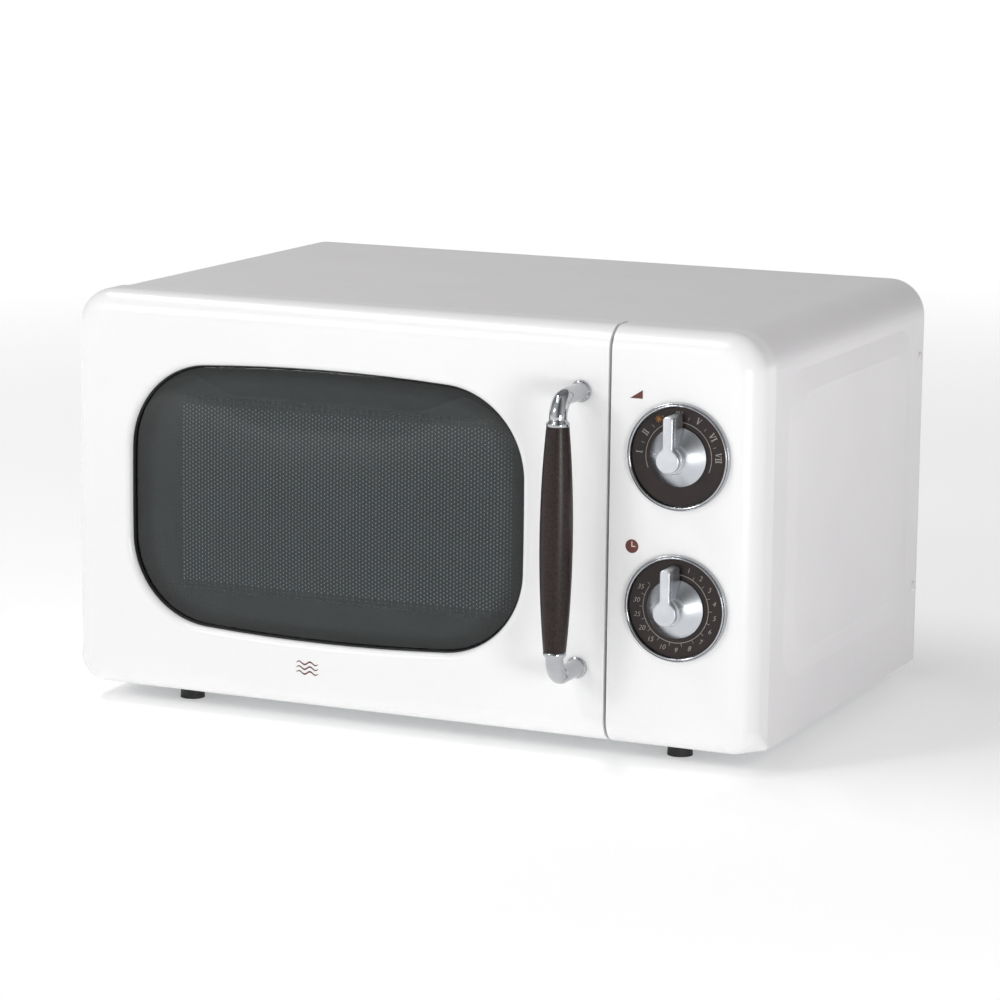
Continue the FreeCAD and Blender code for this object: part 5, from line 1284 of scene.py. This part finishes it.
@dataclass
class Cabinet:
    """The sheet steel case on rubber feet, with painted cross-headed screws near its rear edge.

    seat is how far the heads' undersides stand from the middle, and levels their heights;
    the cross is cut in arms of twice cross_half, which end at cross_reach from the middle.
    """

    head_radius: float = 3.4
    head_rise: float = 1.3
    head_fall: float = 0.6
    recess: float = 0.9
    seat: float = 226.0
    levels: tuple[float, float] = (62.0, 212.0)
    cross_half: float = 0.55
    cross_slope: float = 0.2
    cross_reach: float = 2.1
    cross_end: float = 0.4

    def build_screws(self) -> None:
        """Domed heads: h = rise (1 - fall q^2) less a cross cut, with q the share of the radius."""
        low, high = box_mm("cover_screws")
        patches = []
        for side in (-1, 1):
            seat = side * self.seat
            for z in self.levels:
                q = np.concatenate([np.linspace(0, 1, 22), [1.0, 1.0, 0.0]])
                turn = np.linspace(0, 2 * np.pi, 64, endpoint=False)
                across = self.head_radius * q[:, None] * np.cos(turn)
                up = self.head_radius * q[:, None] * np.sin(turn)
                arm = np.minimum(np.abs(across), np.abs(up))
                reach = self.cross_reach - self.head_radius * q[:, None]
                cut = (np.clip((self.cross_half - arm) / self.cross_slope, 0, 1)
                       * np.clip(reach / self.cross_end, 0, 1))
                rise = (self.head_rise * (1 - self.head_fall * q[:, None] ** 2)
                        - self.recess * cut)
                rise[-2:] = 0.0
                rise[-3] = rise[-4]
                x = seat + side * rise
                points = np.stack([x, (low[1] + high[1]) / 2 + across, z + up], axis=-1)
                patches.append(grid(points))
        make_piece("cover_screw_heads", patches, WHITE_STEEL, "cabinet",
                   ["cover_screws"], sharp=50)

    def build(self) -> None:
        """Makes the screws and dresses the case."""
        self.build_screws()
        dress(WHITE_STEEL, "outer_cover")
        dress(ZINC_STEEL, "rear_panel", "base_plate")
        dress(RUBBER, "foot_front_left", "foot_front_right", "foot_rear_left", "foot_rear_right")
        dress(BLACK_ABS, "cord_inlet")
        dress(ZINC_STEEL, "hinge_upper", "hinge_lower")


@dataclass
class Oven:
    """The cooking space with its turntable, and the supply beside it."""

    def build(self) -> None:
        """Dresses the pieces inside."""
        dress(CAVITY_ENAMEL, "oven_cavity", "front_frame")
        dress(TRAY_GLASS, "glass_tray")
        dress(WHITE_PP, "turntable_coupler", "roller_ring", "roller_1", "roller_2", "roller_3")
        dress(MICA, "waveguide_cover")
        dress(ZINC_STEEL, "waveguide", "magnetron_yoke", "magnetron_filter", "turntable_motor",
              "fan_motor")
        dress(DRAWN_ALUMINIUM, "magnetron_tube", "capacitor")
        dress(FERRITE, "magnetron_magnets")
        dress(LAMINATIONS, "transformer_core")
        dress(COPPER_TURNS, "transformer_coils")
        dress(BLACK_ABS, "diode", "fan_frame")
        dress(GREY_PP, "fan_blade")
        dress(LAMP_GLASS, "cavity_lamp")
        dress(GREEN_BOARD, "filter_board")


# ---------------------------------------------------------------- studio

@dataclass
class Studio:
    """The camera, the floor and the soft lights."""

    place: tuple[float, float, float] = (999.4, -2225.0, 574.1)
    azimuth: float = 24.043
    elevation: float = 10.393
    roll: float = 0.704
    lens: float = 141.41
    # share of the way round from the back through the left, and brightness
    surround: tuple[tuple[float, float], ...] = (
        (0.0, 0.5), (0.18, 0.35), (0.27, 0.3), (0.34, 1.0), (0.46, 1.0), (0.52, 0.3), (0.58, 0.12),
        (0.64, 0.3), (0.7, 0.9), (0.77, 0.6), (0.86, 0.2), (1.0, 0.4))
    # name, place and size in metres, and watts
    lamps: tuple[tuple[str, tuple[float, ...], tuple[float, float], float], ...] = (
        ("key", (-1.6, -2.6, 1.5), (0.6, 0.6), 16),
        ("fill", (1.15, -1.0, 0.18), (0.35, 0.3), 5),
        ("overhead", (-0.9, -0.5, 2.1), (1.8, 0.16), 18))
    aim: tuple[float, float, float] = (0.0, 0.0, 0.13)
    floor_half: float = 20000.0
    floor_drop: float = 0.05

    def build_camera(self) -> None:
        """Points the camera along its azimuth and elevation, then rolls it."""
        a, e, r = (math.radians(x) for x in (self.azimuth, self.elevation, self.roll))
        back = Vector((math.sin(a) * math.cos(e), -math.cos(a) * math.cos(e), math.sin(e)))
        right = Vector((math.cos(a), math.sin(a), 0))
        up = back.cross(right)
        x = right * math.cos(r) + up * math.sin(r)
        y = up * math.cos(r) - right * math.sin(r)
        data = bpy.data.cameras.new("camera")
        data.lens, data.sensor_width = self.lens, 36.0
        data.clip_start, data.clip_end = 0.1, 60.0
        camera = bpy.data.objects.new("camera", data)
        camera.matrix_world = (Matrix.Translation(Vector(self.place) * MM)
                               @ Matrix((x, y, back)).transposed().to_4x4())
        bpy.context.scene.collection.objects.link(camera)
        bpy.context.scene.camera = camera

    def light(self, name: str, at: Sequence[float], size: tuple[float, float],
              power: float) -> None:
        """One rectangular soft light aimed at the oven's middle.

        Args:
            name: Its name.
            at: Its place in metres.
            size: Its width and height in metres.
            power: Its power in watts.
        """
        data = bpy.data.lights.new(name, "AREA")
        data.shape, data.size, data.size_y, data.energy = "RECTANGLE", *size, power
        lamp = bpy.data.objects.new(name, data)
        lamp.location, lamp.visible_camera = at, False
        ahead = Vector(self.aim) - Vector(at)
        lamp.rotation_euler = ahead.to_track_quat("-Z", "Y").to_euler()
        bpy.context.scene.collection.objects.link(lamp)

    def build_floor(self) -> None:
        """A wide pale floor, a hair below the plane of the feet."""
        t = np.linspace(-self.floor_half, self.floor_half, 9)
        x, y = np.meshgrid(t, t)
        points = np.stack([x, y, np.zeros_like(x) - self.floor_drop], axis=-1)
        patch = grid(points, round_u=False)
        mesh = bpy.data.meshes.new("floor")
        mesh.from_pydata((patch.points * MM).tolist(), [], patch.quads.tolist())
        finish = LitFloor("Studio floor, matt and lit from below", "F2F2F2", 0.9, glow=0.34)
        mesh.materials.append(finish.material())
        floor = bpy.data.objects.new("floor", mesh)
        bpy.context.scene.collection.objects.link(floor)

    def build_world(self) -> None:
        """A pale surround: brighter at the front left, dim overhead, with dark screens between."""
        world = bpy.data.worlds.new("surround")
        world.use_nodes = True
        tree = world.node_tree
        tree.nodes.clear()
        where = add_node(tree, "TexCoord")
        split = add_node(tree, "SeparateXYZ", links={0: where.outputs["Generated"]})
        fall = add_node(tree, "MapRange", {"interpolation_type": "SMOOTHSTEP", "From Min": 0.02,
                                           "From Max": 0.7, "To Min": 1.0, "To Max": 0.72},
                        {"Value": split.outputs[2]})
        front = add_node(tree, "Math", {"operation": "MULTIPLY", 1: -1.0}, {0: split.outputs[1]})
        turn = add_node(tree, "Math", {"operation": "ARCTAN2"},
                        {0: split.outputs[0], 1: front.outputs[0]})
        share = add_node(tree, "MapRange", {"From Min": -math.pi, "From Max": math.pi},
                         {"Value": turn.outputs[0]})
        ramp = add_node(tree, "ValToRGB", links={0: share.outputs[0]})
        band = ramp.color_ramp
        band.interpolation = "B_SPLINE"
        for spot, grey in self.surround[1:-1]:
            band.elements.new(spot).color = (grey, grey, grey, 1.0)
        for end, (spot, grey) in ((0, self.surround[0]), (-1, self.surround[-1])):
            band.elements[end].position = spot
            band.elements[end].color = (grey, grey, grey, 1.0)
        power = add_node(tree, "Math", {"operation": "MULTIPLY"},
                         {0: fall.outputs[0], 1: ramp.outputs[0]})
        sky = add_node(tree, "Background", {"Color": (1.0, 1.0, 1.0, 1.0)},
                       {"Strength": power.outputs[0]})
        add_node(tree, "OutputWorld", links={"Surface": sky.outputs[0]})
        bpy.context.scene.world = world

    def build(self) -> None:
        """Sets up the studio."""
        self.build_camera()
        self.build_floor()
        self.build_world()
        for lamp in self.lamps:
            self.light(*lamp)
        bpy.context.scene.view_settings.view_transform = "Standard"


def main() -> None:
    """Builds the sub-assemblies in order."""
    logging.basicConfig(level=logging.INFO, format="%(name)s %(message)s")
    for part in (Door(), Handle(), Dial(Scale.POWER), Dial(Scale.TIMER), ControlPanel(),
                 Cabinet(), Oven(), Studio()):
        LOG.info("building %s", type(part).__name__)
        part.build()


if __name__ == "__main__":
    main()
